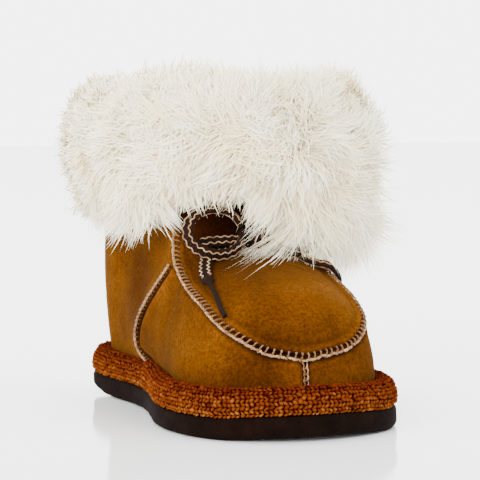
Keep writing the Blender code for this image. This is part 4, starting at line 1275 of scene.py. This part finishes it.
# %% The apron seam's stitches
STITCH_THREAD = 0.25, 0.19         # half width and half height
STITCH_ROUTE = np.array([
    # along the seam, down the wall or inwards over the apron, height
    (-0.26, -0.60, -0.20), (-0.20, -0.38, 0.20), (-0.08, 0.05, 0.52), (0.04, 0.50, 0.58),
    (0.14, 0.98, 0.42), (0.20, 1.45, -0.15)])


def stitches(centres):
    """Paths (stitches, 6, 3): each point is the seam's, moved along its directions."""
    slant, aside, height = STITCH_ROUTE.T
    where = centres[:, None] + slant[None, :]
    flat = where.ravel()

    def pick(key):
        return on_seam(flat, key).reshape(*where.shape, 3)

    aside = aside[None, :, None]
    move = np.where(aside < 0, pick("down") * -aside, pick("inwards") * aside)
    tilt = smooth_step((aside + 1.2) / 2.4)
    rise = unit(pick("wall") * (1.0 - tilt) + pick("roof") * tilt)
    return pick("points") + move + rise * height[None, :, None]


centres = (np.arange(np.ceil(start / STITCH), np.floor(stop / STITCH)) + 0.5) * STITCH
centres = centres + random.normal(0.0, 0.10, len(centres))
paths = stitches(centres)
tube_piece("seam_stitches", paths, np.array([0.3, 0.2, 1.0]), *STITCH_THREAD, TAN_THREAD,
           "suede", sides=6)

# %% [markdown]
# A side seam joins the vamp to the heel part. Its edge turns back, so there is a dark
# hollow in front of a cream cord with golden stitches over it. At the foot it splays
# forwards before it goes under the tape. The toe seam is a short pair of uneven cords,
# one cream and one golden, with slanting stitches across both.

# %% Side seams and toe seam
SIDE_STITCH, TOE_STITCH = 1.6, 1.5
SIDE_THREAD, TOE_THREAD = (0.17, 0.15), (0.15, 0.14)
SIDE_STITCH_ROUTE = np.array([
    # along the seam, in front of it, height
    (-0.45, -0.62, -0.25), (-0.28, -0.40, 0.40), (0.0, 0.0, 0.56), (0.28, 0.26, 0.22),
    (0.45, 0.40, -0.45)])
slant, aside, height = SIDE_STITCH_ROUTE.T
parts = []
for side in (-1, 1):
    at, line, out, along = wall_route(side, SIDE_ROUTE, 190)
    ahead = unit(np.cross(along, out)) * side
    # the cord wanders a little sideways and its thickness changes along it
    uneven = np.interp(at, np.linspace(0, at[-1], 24), random.normal(0.0, 0.10, 24))[:, None]
    edge_line = line + out * 0.62 + ahead * (0.05 + uneven)
    thick = 0.17 + 0.35 * np.interp(at, np.linspace(0, at[-1], 40), random.normal(0.0, 0.12, 40))
    parts.append((rope(edge_line, out, ahead, 0.16, SIDE_STITCH, thick[None]), 0))
    # one stitch for every turn of the cord
    count = int(at[-1] / SIDE_STITCH)
    knots = (np.arange(count) + 0.5) * SIDE_STITCH + random.normal(0.0, 0.1, count)
    where = (knots[:, None] + slant[None]).ravel()
    shape = (count, len(slant), 3)
    facing = read_along(out, at, where).reshape(shape)
    path = (read_along(edge_line - out * 0.25, at, where).reshape(shape)
            + read_along(ahead, at, where).reshape(shape) * aside[None, :, None]
            + facing * height[None, :, None])
    parts.append((tube_mesh(path, facing, *SIDE_THREAD, 6), 1))
join_tubes("side_seams", parts, [CREAM_THREAD, TAN_THREAD])

v = np.linspace(0.30, 0.97, 70)
toe_line = 0.5 * (side_wall(-1, np.zeros(70), v) + side_wall(1, np.zeros(70), v))
toe_out = unit(np.array([-0.12, -1.0, 0.15]))
at = way_along(toe_line)
parts = []
for edge in (-1.0, 1.0):
    beside = (edge * (0.42 + 0.13 * np.sin(at * 2.0 * np.pi / TOE_STITCH + edge))
              + 0.06 * np.sin(at * 1.3))
    path = toe_line + np.outer(beside, (1.0, 0.0, 0.0)) - toe_out * (0.10 - 0.10 * edge)
    thick = 0.17 + 0.05 * np.sin(at * 2.7 + 2.0 * edge)
    parts.append((tube_mesh(path[None], toe_out, thick[None], thick[None], 6), int(edge < 0)))
knots = (np.arange(int(at[-1] / TOE_STITCH)) + 0.5) * TOE_STITCH
cross = np.linspace(-1.0, 1.0, 5)
middle = read_along(toe_line, at, knots)
path = (middle[:, None] + cross[None, :, None] * np.array([1.0, 0.0, 0.35]) * 0.62
        + toe_out * (0.32 - 0.42 * cross ** 2)[None, :, None])
parts.append((tube_mesh(path, toe_out, *TOE_THREAD, 6), 1))
join_tubes("toe_seam", parts, [CREAM_THREAD, TAN_THREAD])

# %% [markdown]
# ## The lining
#
# The suede is the outside of a sheepskin, so the inside of the shoe is short wool. It is
# a second skin a little further in, with its own waves, and covers walls and roof.

# %% Lining
def inner_skin(name, points, close_columns, depth, seed):
    """A coarse copy of a suede grid, moved inwards, with the lumps of matted wool."""
    normals = grid_normals(points, close_columns)
    lumps = depth + 0.35 * soft_waves(points, 4.0, seed, 9)
    piece = grid_piece(name, points - normals * lumps[..., None], [FLEECE],
                       close_columns=close_columns)
    thicken(piece, 0.5)


inner_skin("wall_lining", wall[::3, ::3], True, 1.95, 31)
inner_skin("roof_lining", top[8::5, 2:-2:2], False, 2.0, 32)

# %% [markdown]
# ## The knitted tape
#
# The tape is plain knitting, and its wales run along the sole's edge: each is a chain of
# small V stitches that lie on their side. Modelling the yarn itself would need thousands
# of long loops. Each V is instead two plump strokes, and their ends hide under the next V.
# A body painted dark fills the gaps between them, as their shade. Six wales show, and the
# upper ones, which run over the top towards the wall, get less light, so each has its own painted
# shade.

# %% The tape's section
WELT_HEIGHT, WELT_GAP, WELT_LUMP, LUMP_REACH, LUMP_SHARE = 6.6, 0.65, 1.3, 0.022, 0.52
WELT_LINES = ((1.2, 0.0), (0.25, 0.22), (0.35, 0.52), (1.3, 0.82), (2.7, 0.98),
              (UPPER_INSET, 0.86), (UPPER_INSET, 0.45), (UPPER_INSET, 0.0))


def wall_at_height(side, u, height):
    """Wall points at a height: the wall's curve is halved 18 times towards that height."""
    low, high = np.zeros_like(u), np.ones_like(u)
    for _ in range(18):
        middle = 0.5 * (low + high)
        above = side_wall(side, u, middle)[..., 2] > height
        low, high = np.where(above, low, middle), np.where(above, middle, high)
    return side_wall(side, u, 0.5 * (low + high))


def welt_rings(count):
    """The tape's eight long lines as closed rings (8, columns, 3), columns evenly apart."""
    table = np.linspace(0.0, HEEL_STATION, 2000)
    shares = np.linspace(0.0, 1.0, 260)
    u = np.interp(shares, np.clip(spline(STATIONS, table)[:, 0], 0, 1), table)
    rings = []
    for number, (inset, share) in enumerate(WELT_LINES):
        halves = {}
        outer = number < 5
        for side in (-1, 1):
            edge, foot = on_outline(side, 0.0, shares), on_outline(side, UPPER_INSET, shares)
            out = unit(edge - foot)
            lump = WELT_LUMP * hump(shares - LUMP_SHARE, LUMP_REACH) * (side < 0)
            line = edge - out * inset
            height = deck(line[:, 1]) + CLEARANCE + share * (WELT_HEIGHT + lump * outer)
            face = wall_at_height(side, u, height)[:, :2] + out * WELT_GAP
            room = 0.15 * (5 - number) * outer
            reach = np.maximum(np.sum((face - edge) * out, axis=1) + room, -inset)
            halves[side] = np.column_stack([edge + out * (reach + 0.5 * lump * outer)[:, None],
                                            height])
        rings.append(np.concatenate([halves[-1], halves[1][-2:0:-1]]))
    rings = np.array(rings)
    closed = np.concatenate([rings, rings[:, :1]], axis=1)
    way = way_along(closed[2])
    at = np.arange(count) / count * way[-1]
    return np.array([read_along(ring, way, at) for ring in closed]), way[-1]


def sample_grid(table, rows, columns):
    """A closed grid of points read between its rows and columns, both linearly."""
    count = table.shape[1]
    rows = np.clip(rows, 0, table.shape[0] - 1.001)
    r, c = np.floor(rows).astype(int), np.floor(columns).astype(int)
    fr, fc = (rows - r)[..., None], (columns - c)[..., None]
    a, b = c % count, (c + 1) % count
    return ((table[r, a] * (1 - fc) + table[r, b] * fc) * (1 - fr)
            + (table[r + 1, a] * (1 - fc) + table[r + 1, b] * fc) * fr)


TAPE_ROWS, TAPE_COLUMNS, TAPE_LINES = 43, 840, len(WELT_LINES)
rings, edge_length = welt_rings(TAPE_COLUMNS)
tape_rows = np.linspace(0.0, TAPE_LINES - 1.0, TAPE_ROWS)
tape = spline(rings.reshape(TAPE_LINES, -1), tape_rows).reshape(TAPE_ROWS, TAPE_COLUMNS, 3)
tape_out = -grid_normals(tape, close_columns=True)
print(f"tape: {edge_length:.0f} mm round, grid {tape.shape[:2]}")

# %% The tape's body and stitches
BODY_ROWS, BODY_INSET = 24, 0.55
body_rows = np.linspace(0.0, TAPE_LINES, BODY_ROWS + 1)[:-1]
coarse = rings[:, ::4]
body = spline(coarse.reshape(TAPE_LINES, -1), body_rows, closed=True)
body = body.reshape(BODY_ROWS, coarse.shape[1], 3)
body = body - unit(body - body.mean(axis=0, keepdims=True)) * BODY_INSET
faces, places = grid_faces(*body.shape[:2], close_rows=True, close_columns=True)
# the body gets the lowest value: painted shade between the stitches
tape_body = make_piece("tape_body", body.reshape(-1, 3), faces[:, ::-1], [YARN],
                       uv=places[:, ::-1] * 0.5,
                       attributes={"dye_and_painted_light": np.full(body.shape[:2], 0.05)})
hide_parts("welt_braid")

WALES, COURSES, SHOWN_ROWS = 6, int(edge_length / 1.15), 31
# painted shade for each wale, from the lowest one up to the one by the wall
WALE_TONES = np.array([0.49, 0.41, 0.36, 0.22, 0.17, 0.20])
section = way_along(tape[:SHOWN_ROWS, 100])
q = np.linspace(0.0, 1.0, 4)
wale, course, leg = np.meshgrid(np.arange(WALES), np.arange(COURSES), (-1.0, 1.0), indexing="ij")
wale, course, leg = (x.reshape(-1, 1) for x in (wale, course, leg))
random = np.random.default_rng(5)
loose = random.normal(0.0, 1.0, (len(wale), 4))
sideways = wale + 0.5 + leg * (0.05 + 0.40 * q) + 0.06 * loose[:, :1]
rows_at = np.interp(sideways / WALES * section[-1], section, np.arange(SHOWN_ROWS))
courses_at = course - 0.2 + (0.95 + 0.14 * loose[:, 1:2]) * q + 0.08 * loose[:, 3:4]
columns_at = courses_at * TAPE_COLUMNS / COURSES
bulge = 0.04 + 0.50 * np.sin(np.pi * (0.12 + 0.76 * q)) ** 0.8 + 0.08 * loose[:, 2:3]
normal = unit(sample_grid(tape_out, rows_at, columns_at))
path = sample_grid(tape, rows_at, columns_at) + normal * (bulge - 0.28)[..., None]
thickness = 0.39 * (0.55 + 0.45 * np.sin(np.pi * q) ** 0.7) * (1.0 + 0.16 * loose[:, :1])
# painted light along each stroke: lighter in its middle, painted shade at its ends under the next V
painted_stroke_light = np.sin(np.pi * (0.08 + 0.84 * q)) - 0.6
# each wale's painted shade, a random change in the dye, and the stroke's painted light
dye_and_painted_light = WALE_TONES[wale] + 0.08 * loose[:, 3:4] + 0.34 * painted_stroke_light
tube_piece("tape_stitches", path, normal, thickness, thickness * 0.85, YARN, "knitted_tape",
           sides=4, attributes={"dye_and_painted_light": dye_and_painted_light})

# %% [markdown]
# ## The sheepskin cuff
#
# The cuff is a strip of sheepskin folded over the collar with its long wool outside.
# Hair particles would be the usual way, but a mesh can leave Blender and keep its shape.
# Under the wool lies a skin, and on it grow tapered ribbons. They grow in tufts: all the
# ribbons of a tuft lean the same way and draw together towards its tip.
#
# The cuff's own shape is a closed section that runs round the shaft: up along the suede,
# over the collar, down inside, and back over the wool's crown and belly to the hem.

# %% The cuff's shape
WOOL_MIDDLE, WOOL_RADIUS, LINING_GAP = (4.0, 18.0), 41.5, 1.3
HEM_HEIGHT, HEM_RISE = 50.5, 4.4
WOOL_ROWS = ((0.62, 1.0, 86.0), (0.78, 5.5, 85.8), (0.90, 9.0, 81.5), (0.97, 11.0, 75.5),
             (1.00, 12.0, 68.5), (0.99, 11.5, 61.5), (0.95, 10.0, 55.5), (0.87, 7.5, 51.0))


def shaft_radius(level, angles):
    """Radius of the upper at a height round the shaft's middle, angle 0 in front.

    Points of both walls and of the apron at that height are sorted by their angle.
    """
    level = min(level, COLLAR_HEIGHT)
    u = np.linspace(SEAM_STATION, HEEL_STATION, 90)
    u = u[spline(STATIONS, u)[:, 3] >= level - 0.01]
    found = [wall_at_height(side, u, level) for side in (-1, 1)]
    w = np.linspace(0.04, 0.96, 15)
    low, high = np.full(15, float(SEAM_STATION)), np.full(15, float(COLLAR_STATION))
    for _ in range(16):
        middle = 0.5 * (low + high)
        above = apron(middle, w)[..., 2] > level
        low, high = np.where(above, low, middle), np.where(above, middle, high)
    found.append(apron(0.5 * (low + high), w))
    found = np.concatenate(found)
    x, y = found[:, 0] - SHAFT_MIDDLE[0], found[:, 1] - SHAFT_MIDDLE[1]
    turn = np.arctan2(x, -y)
    order = np.argsort(turn)
    return np.interp(angles, turn[order], np.hypot(x, y)[order], period=2 * np.pi)


def wool_radius(spread, least, z, angles):
    """Radius of the wool: a circle round its own middle, kept outside the shaft."""
    east, north = WOOL_MIDDLE[0] - SHAFT_MIDDLE[0], WOOL_MIDDLE[1] - SHAFT_MIDDLE[1]
    along = east * np.sin(angles) - north * np.cos(angles)
    across = east * np.cos(angles) + north * np.sin(angles)
    circle = along + np.sqrt((WOOL_RADIUS * spread) ** 2 - across ** 2)
    shaft = shaft_radius(z, angles) + least
    return 0.5 * (circle + shaft + np.hypot(circle - shaft, 1.5))


def shaft_place(radius, angles, z):
    """Point at a radius and an angle round the shaft's middle, at a height."""
    return np.stack([SHAFT_MIDDLE[0] + radius * np.sin(angles),
                     SHAFT_MIDDLE[1] - radius * np.cos(angles),
                     np.broadcast_to(z, np.shape(angles)).astype(float)], axis=-1)


def hem_height(angles):
    """Height of the hem: level round the back, and higher over the bow."""
    return HEM_HEIGHT + HEM_RISE * np.exp(-(angles / 0.95) ** 4)


def cuff_rings(count):
    """The cuff's section as closed rings: the lining first, then the wool from crown to hem."""
    angles = np.linspace(-np.pi, np.pi, count, endpoint=False)
    hem = hem_height(angles)
    inside = -(UPPER_WALL + LINING_GAP)
    lining = ((56.0, 2.3, 56.0), (62.0, 1.9, 62.0), (70.0, 1.6, 70.0),
              (COLLAR_HEIGHT, 1.2, COLLAR_TOP), (COLLAR_HEIGHT, inside + 0.3, COLLAR_TOP),
              (70.0, inside, 70.0), (64.0, inside, 64.0), (64.0, inside - 3.2, 62.8),
              (70.0, inside - 5.4, 70.0), (COLLAR_HEIGHT, inside - 5.0, 79.0),
              (COLLAR_HEIGHT, inside - 1.5, 85.0))
    rings = [shaft_place(shaft_radius(level, angles) + offset, angles, z)
             for level, offset, z in lining]
    for number, (spread, least, z) in enumerate(WOOL_ROWS):
        drop = np.clip((number - 4) / 3.0, 0.0, 1.0) * (HEM_HEIGHT - hem)
        rings.append(shaft_place(wool_radius(spread, least, z, angles), angles, z - drop))
    shaft = shaft_radius(52.0, angles) + 2.4
    under = 0.85 * wool_radius(0.82, 6.5, 51.0, angles) + 0.15 * shaft
    rings.append(shaft_place(under, angles, hem))
    rings.append(shaft_place(shaft, angles, np.maximum(hem, 51.5) + 0.5))
    return np.array(rings)


CUFF_COLUMNS, ROW_STEPS = 180, 4
rings = cuff_rings(CUFF_COLUMNS)
section_rows = np.arange(len(rings) * ROW_STEPS) / ROW_STEPS
cuff = spline(rings.reshape(len(rings), -1), section_rows, closed=True)
cuff = cuff.reshape(-1, CUFF_COLUMNS, 3)
across = np.roll(cuff, -1, axis=1) - np.roll(cuff, 1, axis=1)
up = np.roll(cuff, -1, axis=0) - np.roll(cuff, 1, axis=0)
cuff_out = unit(np.cross(up, across))
belly = 15 * ROW_STEPS, CUFF_COLUMNS // 2
print("cuff grid", cuff.shape[:2], "faces outwards:",
      bool((cuff_out[belly] * (cuff[belly] - cuff.mean(axis=(0, 1)))).sum() > 0))

# %% The skin under the wool
# the wool's depth at each row of the section: none where the strip lies on the suede
DEPTH = np.array([0.0, 0.0, 0.0, 0.0, 0.0, 0.0, 0.0, 1.2, 2.0, 2.2, 2.8, 3.3, 3.5, 3.5, 3.5,
                  3.5, 3.4, 3.0, 2.2, 1.2, 0.4])
depth = spline(DEPTH[:, None], section_rows, closed=True).reshape(-1, 1)
tufts = 0.9 * soft_waves(cuff, 9.0, 41, 9) + 0.5 * soft_waves(cuff, 4.5, 42, 9)
skin = cuff - cuff_out * (np.maximum(depth, 0.0) - tufts * (depth > 1.0))[..., None]
faces, places = grid_faces(*cuff.shape[:2], close_rows=True, close_columns=True)
cuff_skin = make_piece("cuff_skin", skin.reshape(-1, 3), faces[:, ::-1], [FLEECE],
                       uv=places[:, ::-1] * 0.5)
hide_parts("cuff")

# %% [markdown]
# A strand is a line of four points. Its root lies on the skin, its heading is worked out
# from its tuft, and the heading's steps are added up. Then it becomes a ribbon that ends
# in a point. The nine areas go from the inside of the collar to the hem. The last four
# hang down as a thin fringe, narrow locks and stray wisps. A ribbon is shaded with its
# tuft's direction instead of its own, so that the wool takes the light as soft lumps.

# %% Where the wool grows and how it lies
def grow_roots(count, first, last, random):
    """Roots spread evenly over the skin between two rows of its section.

    A cell of the grid is picked with a chance in proportion to its area, and the root
    lies at a random place in that cell. Gives each root's row and column.
    """
    rows = np.arange(int(first * ROW_STEPS), int(last * ROW_STEPS))
    cells = skin[rows]
    side = np.linalg.norm(np.roll(cells, -1, axis=1) - cells, axis=2)
    rise = np.linalg.norm(skin[(rows + 1) % len(skin)] - cells, axis=2)
    weight = np.cumsum((side * rise).ravel())
    pick = np.searchsorted(weight, random.uniform(0.0, weight[-1], count))
    row, column = np.divmod(pick, skin.shape[1])
    return rows[row] + random.uniform(0, 1, count), column + random.uniform(0, 1, count)


def angle_of(points):
    """Angle round the shaft: 0 in front, positive on the outer side."""
    return np.arctan2(points[:, 0] - SHAFT_MIDDLE[0], SHAFT_MIDDLE[1] - points[:, 1])


def comb(points):
    """The way the wool lies: up at the crown, outwards in the middle, down at the hem.

    In front it also parts: it sweeps away from the middle to both sides.
    """
    angle = angle_of(points)
    height = points[:, 2]
    upward = 0.75 - 1.75 * smooth_step((84.0 - height) / 24.0)
    apart = 0.95 * np.tanh((angle - 0.2) / 0.5) * hump(angle - 0.2, 1.6)
    apart = apart * smooth_step((86.0 - height) / 16.0)
    flow = np.stack([np.cos(angle), np.sin(angle), 0 * angle], axis=-1) * apart[:, None]
    flow[:, 2] += upward
    return flow


HANG = np.array([
    # degrees round the shaft, length near the hem
    (-180, 0.95), (-130, 0.45), (-95, 0.34), (-62, 0.66), (-42, 0.95), (-26, 0.58), (-4, 0.40),
    (2, 0.85), (9, 1.55), (24, 1.76), (62, 1.55), (90, 1.1), (180, 0.95)])
CLOSE = np.array([
    # degrees round the shaft, length higher up
    (-180, 1.0), (-135, 0.64), (-95, 0.50), (-55, 0.66), (-30, 1.0), (180, 1.0)])


def strand_length(points):
    """How long the wool is for its place: short over the bow, long beside it, close at the side.

    It is also shorter on top of the crown, in the part that faces the camera.
    """
    degrees = np.degrees(angle_of(points))
    hang, close = np.interp(degrees, *HANG.T), np.interp(degrees, *CLOSE.T)
    low = smooth_step((hem_height(np.radians(degrees)) + 11.5 - points[:, 2]) / 6.0)
    dip = hump(0.9 * points[:, 0] - 0.44 * points[:, 1] - 8.0, 10.0)
    crown = smooth_step((points[:, 2] - 80.0) / 4.0) * dip
    return (hang * low + close * (1.0 - low)) * (1.0 - 0.55 * crown)


LEVELS = np.arange(36.0, 58.0)
AROUND = np.linspace(-np.pi, np.pi, 360, endpoint=False)
SUEDE_RADIUS = np.stack([shaft_radius(level, AROUND) for level in LEVELS])[..., None]
SUEDE_GAP = 0.7


def clear_suede(line):
    """Points moved outwards round the shaft until they are a gap outside the suede."""
    x, y = line[..., 0] - SHAFT_MIDDLE[0], line[..., 1] - SHAFT_MIDDLE[1]
    angle, radius = np.arctan2(x, -y), np.hypot(x, y)
    rows = np.clip(line[..., 2] - LEVELS[0], 0, len(LEVELS) - 1)
    suede = sample_grid(SUEDE_RADIUS, rows, (angle + np.pi) / (2 * np.pi) * len(AROUND))[..., 0]
    more = np.where(line[..., 2] < 56.0, np.maximum(suede + SUEDE_GAP - radius, 0.0), 0.0)
    return line + np.stack([x * more / radius, y * more / radius, 0 * more], axis=-1)


print(f"the hem's wool is longest at {HANG[HANG[:, 1].argmax(), 0]:.0f} degrees")

# %% Strands
SHARES = np.array([0.0, 0.38, 0.72, 1.0])


def wool_strands(count, tuft_count, first, last, length, seed, fall, window):
    """Centre lines (strands, 4, 3), shading directions, facing directions and shades.

    Each strand starts near its tuft's root. Its heading turns from the skin's normal to
    the way the tuft lies, it bends sideways with its tuft, and it draws in a little
    towards the tuft's middle. fall turns the heading from the way of the comb to straight
    down, and window keeps the tufts between two angles.
    """
    random = np.random.default_rng(seed)
    # the tufts: where they grow, which way they lie, and their length, lean, bend and shade
    closed = np.concatenate([skin, skin[:1]])
    closed_out = np.concatenate([cuff_out, cuff_out[:1]])
    tuft_rows, tuft_columns = grow_roots(tuft_count, first, last, random)
    tuft_root = sample_grid(closed, tuft_rows, tuft_columns)
    tuft_out = unit(sample_grid(closed_out, tuft_rows, tuft_columns))
    flow = comb(tuft_root) + random.normal(0.0, 0.46, (tuft_count, 3))
    flow = flow - tuft_out * (flow * tuft_out).sum(axis=1)[:, None]
    flow = flow * (1.0 - fall) + np.array([0.0, 0.0, -1.0]) * fall
    share = strand_length(tuft_root)
    tuft_length = length * share * random.uniform(0.75, 1.25, tuft_count)
    lean = random.uniform(0.12, 0.44, tuft_count) * (1.0 - 0.75 * fall) * np.minimum(share, 1.0)
    bend = random.normal(0.0, 0.22 + 0.14 * fall, tuft_count)
    shade = random.uniform(0, 1, tuft_count)
    # each strand belongs to a tuft in the window and starts near its root
    turn = angle_of(tuft_root)
    within = np.flatnonzero((turn > window[0]) & (turn < window[1]))
    owner = within[random.integers(0, len(within), count)]
    out = tuft_out[owner]
    spread = random.normal(0.0, 1.0, (count, 3))
    spread = spread - out * (spread * out).sum(axis=1)[:, None]
    root = tuft_root[owner] + spread * (2.1 - 0.9 * fall) - out * 0.3
    # its three steps turn from outwards to the way the tuft lies, and are added up
    way = flow[owner] + random.normal(0.0, 0.12, (count, 3))
    middle = 0.5 * (SHARES[1:] + SHARES[:-1])
    rise = lean[owner][:, None] * (1.6 - 1.75 * middle)
    heading = unit(out[:, None] * rise[..., None] + way[:, None] * (0.45 + 0.8 * middle)[:, None])
    long = (tuft_length[owner] * random.uniform(0.7, 1.12, count))[:, None, None]
    steps = heading * np.diff(SHARES)[:, None] * long
    line = np.concatenate([np.zeros((count, 1, 3)), np.cumsum(steps, axis=1)], axis=1)
    line = root[:, None] + line - spread[:, None] * (0.75 * SHARES ** 1.4)[:, None]
    # crimp is a small sine wave across the strand, swing is the tuft's own bend
    aside = unit(np.cross(heading[:, 1], out))[:, None]
    crimp = np.sin(SHARES * 6.5 + shade[owner][:, None] * 40.0 + random.uniform(0, 1.5, (count, 1)))
    swing = bend[owner][:, None, None] * long * (SHARES ** 2)[:, None]
    line = clear_suede(line + aside * ((0.35 * crimp * SHARES)[..., None] + swing))
    facing = unit(out + 0.14 * random.normal(size=(count, 3)) + np.array([0, 0, 0.2]))
    soft = unit(tuft_out + 0.22 * random.normal(size=(tuft_count, 3)) + np.array([0, 0, 0.25]))
    soft = unit(soft[owner] + 0.10 * random.normal(size=(count, 3)))
    return line, soft, facing, np.clip(shade[owner] + random.normal(0, 0.15, count), 0, 1)


def ribbons(name, line, soft, facing, values, width):
    """Tapered ribbons: a left and a right point at three places, and one point at the tip.

    facing is the way the flat side looks, and soft the direction for the shading.
    """
    count = len(line)
    along = unit(np.gradient(line, axis=1))
    aside = unit(np.cross(along, facing[:, None]))
    half = 0.5 * width * np.array([0.8, 1.0, 0.7])[None, :, None] * aside[:, :3]
    pairs = np.stack([line[:, :3] - half, line[:, :3] + half], axis=2).reshape(count, 6, 3)
    points = np.concatenate([pairs, line[:, 3:]], axis=1)
    quads, tips = np.array([(0, 1, 3, 2), (2, 3, 5, 4)]), np.array([(4, 5, 6)])
    shift = (np.arange(count) * 7)[:, None, None]
    up = np.repeat(SHARES, 2)[:7]
    quad_uv = np.stack([np.repeat(values, 8), np.tile(up[quads].ravel(), count)], axis=-1)
    tip_uv = np.stack([np.repeat(values, 3), np.tile(up[tips].ravel(), count)], axis=-1)
    piece = make_piece(name, points.reshape(-1, 3),
                       [(quads[None] + shift).reshape(-1, 4), (tips[None] + shift).reshape(-1, 3)],
                       [WOOL], uv=np.concatenate([quad_uv, tip_uv]))
    piece.data.normals_split_custom_set_from_vertices(np.repeat(soft, 7, axis=0).tolist())


print("points of a strand at shares of its length:", SHARES.tolist())

# %% The wool's nine areas
RIBBON_WIDTH, RIBBON_THINNING, WOOL_SEED = 0.32, 0.09, 100
ALL_ROUND = (-4.0, 4.0)
WOOL_AREAS = (
    # name, strands, tufts, first and last row of the section, length, fall, window of angles
    ("wool_inside", 10000, 300, 7.6, 10.0, 6.5, 0.0, ALL_ROUND),
    ("wool_crown", 22000, 520, 10.0, 12.5, 6.4, 0.0, ALL_ROUND),
    ("wool_upper", 23000, 480, 12.3, 14.4, 9.4, 0.0, ALL_ROUND),
    ("wool_middle", 25000, 480, 14.2, 16.4, 11.0, 0.0, ALL_ROUND),
    ("wool_hem", 19000, 430, 16.2, 19.0, 9.5, 0.2, ALL_ROUND),
    ("wool_fringe", 4600, 900, 16.3, 18.2, 11.5, 0.7, (0.02, 0.72)),
    ("wool_side", 3000, 420, 16.2, 18.0, 11.5, 0.7, (0.72, 1.40)),
    ("wool_locks", 4200, 420, 16.2, 18.0, 12.0, 0.9, (0.15, 1.25)),
    ("wool_wisps", 1500, 420, 16.2, 17.6, 14.5, 0.75, (-1.30, -0.58)),
)
for number, (name, count, tuft_count, first, last, length, fall, window) in enumerate(WOOL_AREAS):
    line, soft, facing, values = wool_strands(count, tuft_count, first, last, length,
                                              WOOL_SEED + number, fall, window)
    ribbons(name, line, soft, facing, values, RIBBON_WIDTH - RIBBON_THINNING * fall)
print("strands in all:", sum(area[1] for area in WOOL_AREAS))

# %% [markdown]
# ## Floor and light
#
# A plain pale floor with a soft shine, and three large lamps: one on the left in front,
# a weaker one on the right, and one above and behind that lights the wool's crown. Large
# lamps give the soft edges of shadow that wool and suede need. The surround is white near
# the horizon, where the floor mirrors it, and grey higher up.

# %% Floor and light
def add_floor():
    """One large square, pale and a little glossy, far wider than the view."""
    faces, _ = grid_faces(2, 2)
    mesh = bpy.data.meshes.new("floor")
    points = np.array([(-3, -3, 0), (3, -3, 0), (-3, 3, 0), (3, 3, 0)], float)
    mesh.from_pydata(points.tolist(), [], [tuple(int(n) for n in faces[0])])
    floor = bpy.data.objects.new("floor", mesh)
    COLLECTION.objects.link(floor)
    material, tree, shader = new_material("floor", 0.10, specular=0.5)
    shader.inputs["Base Color"].default_value = (0.94, 0.945, 0.95, 1.0)
    mesh.materials.append(material)


def add_lamp(name, place, size, power, color):
    """A square area lamp that looks at the slipper."""
    data = bpy.data.lights.new(name, "AREA")
    data.size = size
    data.energy = power
    data.color = color
    lamp = bpy.data.objects.new(name, data)
    lamp.visible_glossy = False
    COLLECTION.objects.link(lamp)
    lamp.location = place
    lamp.rotation_euler = (Vector(MIDDLE) - Vector(place)).to_track_quat("-Z", "Y").to_euler()


LAMPS = (
    # name, place, size, power, colour
    ("key", (-0.85, -0.70, 0.50), 0.6, 24.0, (1.0, 0.985, 0.96)),
    ("fill", (0.65, -0.30, 0.95), 0.8, 8.0, (1.0, 1.0, 1.0)),
    ("top", (0.0, 0.30, 1.1), 0.7, 20.0, (1.0, 1.0, 1.0)),
)
HORIZON, SKY, SURROUND_STRENGTH = (1.0, 1.0, 1.0), (0.40, 0.40, 0.40), 5.6
add_floor()
for lamp in LAMPS:
    add_lamp(*lamp)
world = bpy.data.worlds.new("surround")
world.use_nodes = True
tree = world.node_tree
split = tree.nodes.new("ShaderNodeSeparateXYZ")
tree.links.new(place_node(tree, "Generated"), split.inputs[0])
surround = ramp(tree, split.outputs[2], [(0.12, HORIZON), (0.28, SKY), (1.0, SKY)])
tree.links.new(surround, tree.nodes["Background"].inputs["Color"])
tree.nodes["Background"].inputs["Strength"].default_value = SURROUND_STRENGTH
bpy.context.scene.world = world
print("lamps:", ", ".join(lamp[0] for lamp in LAMPS))
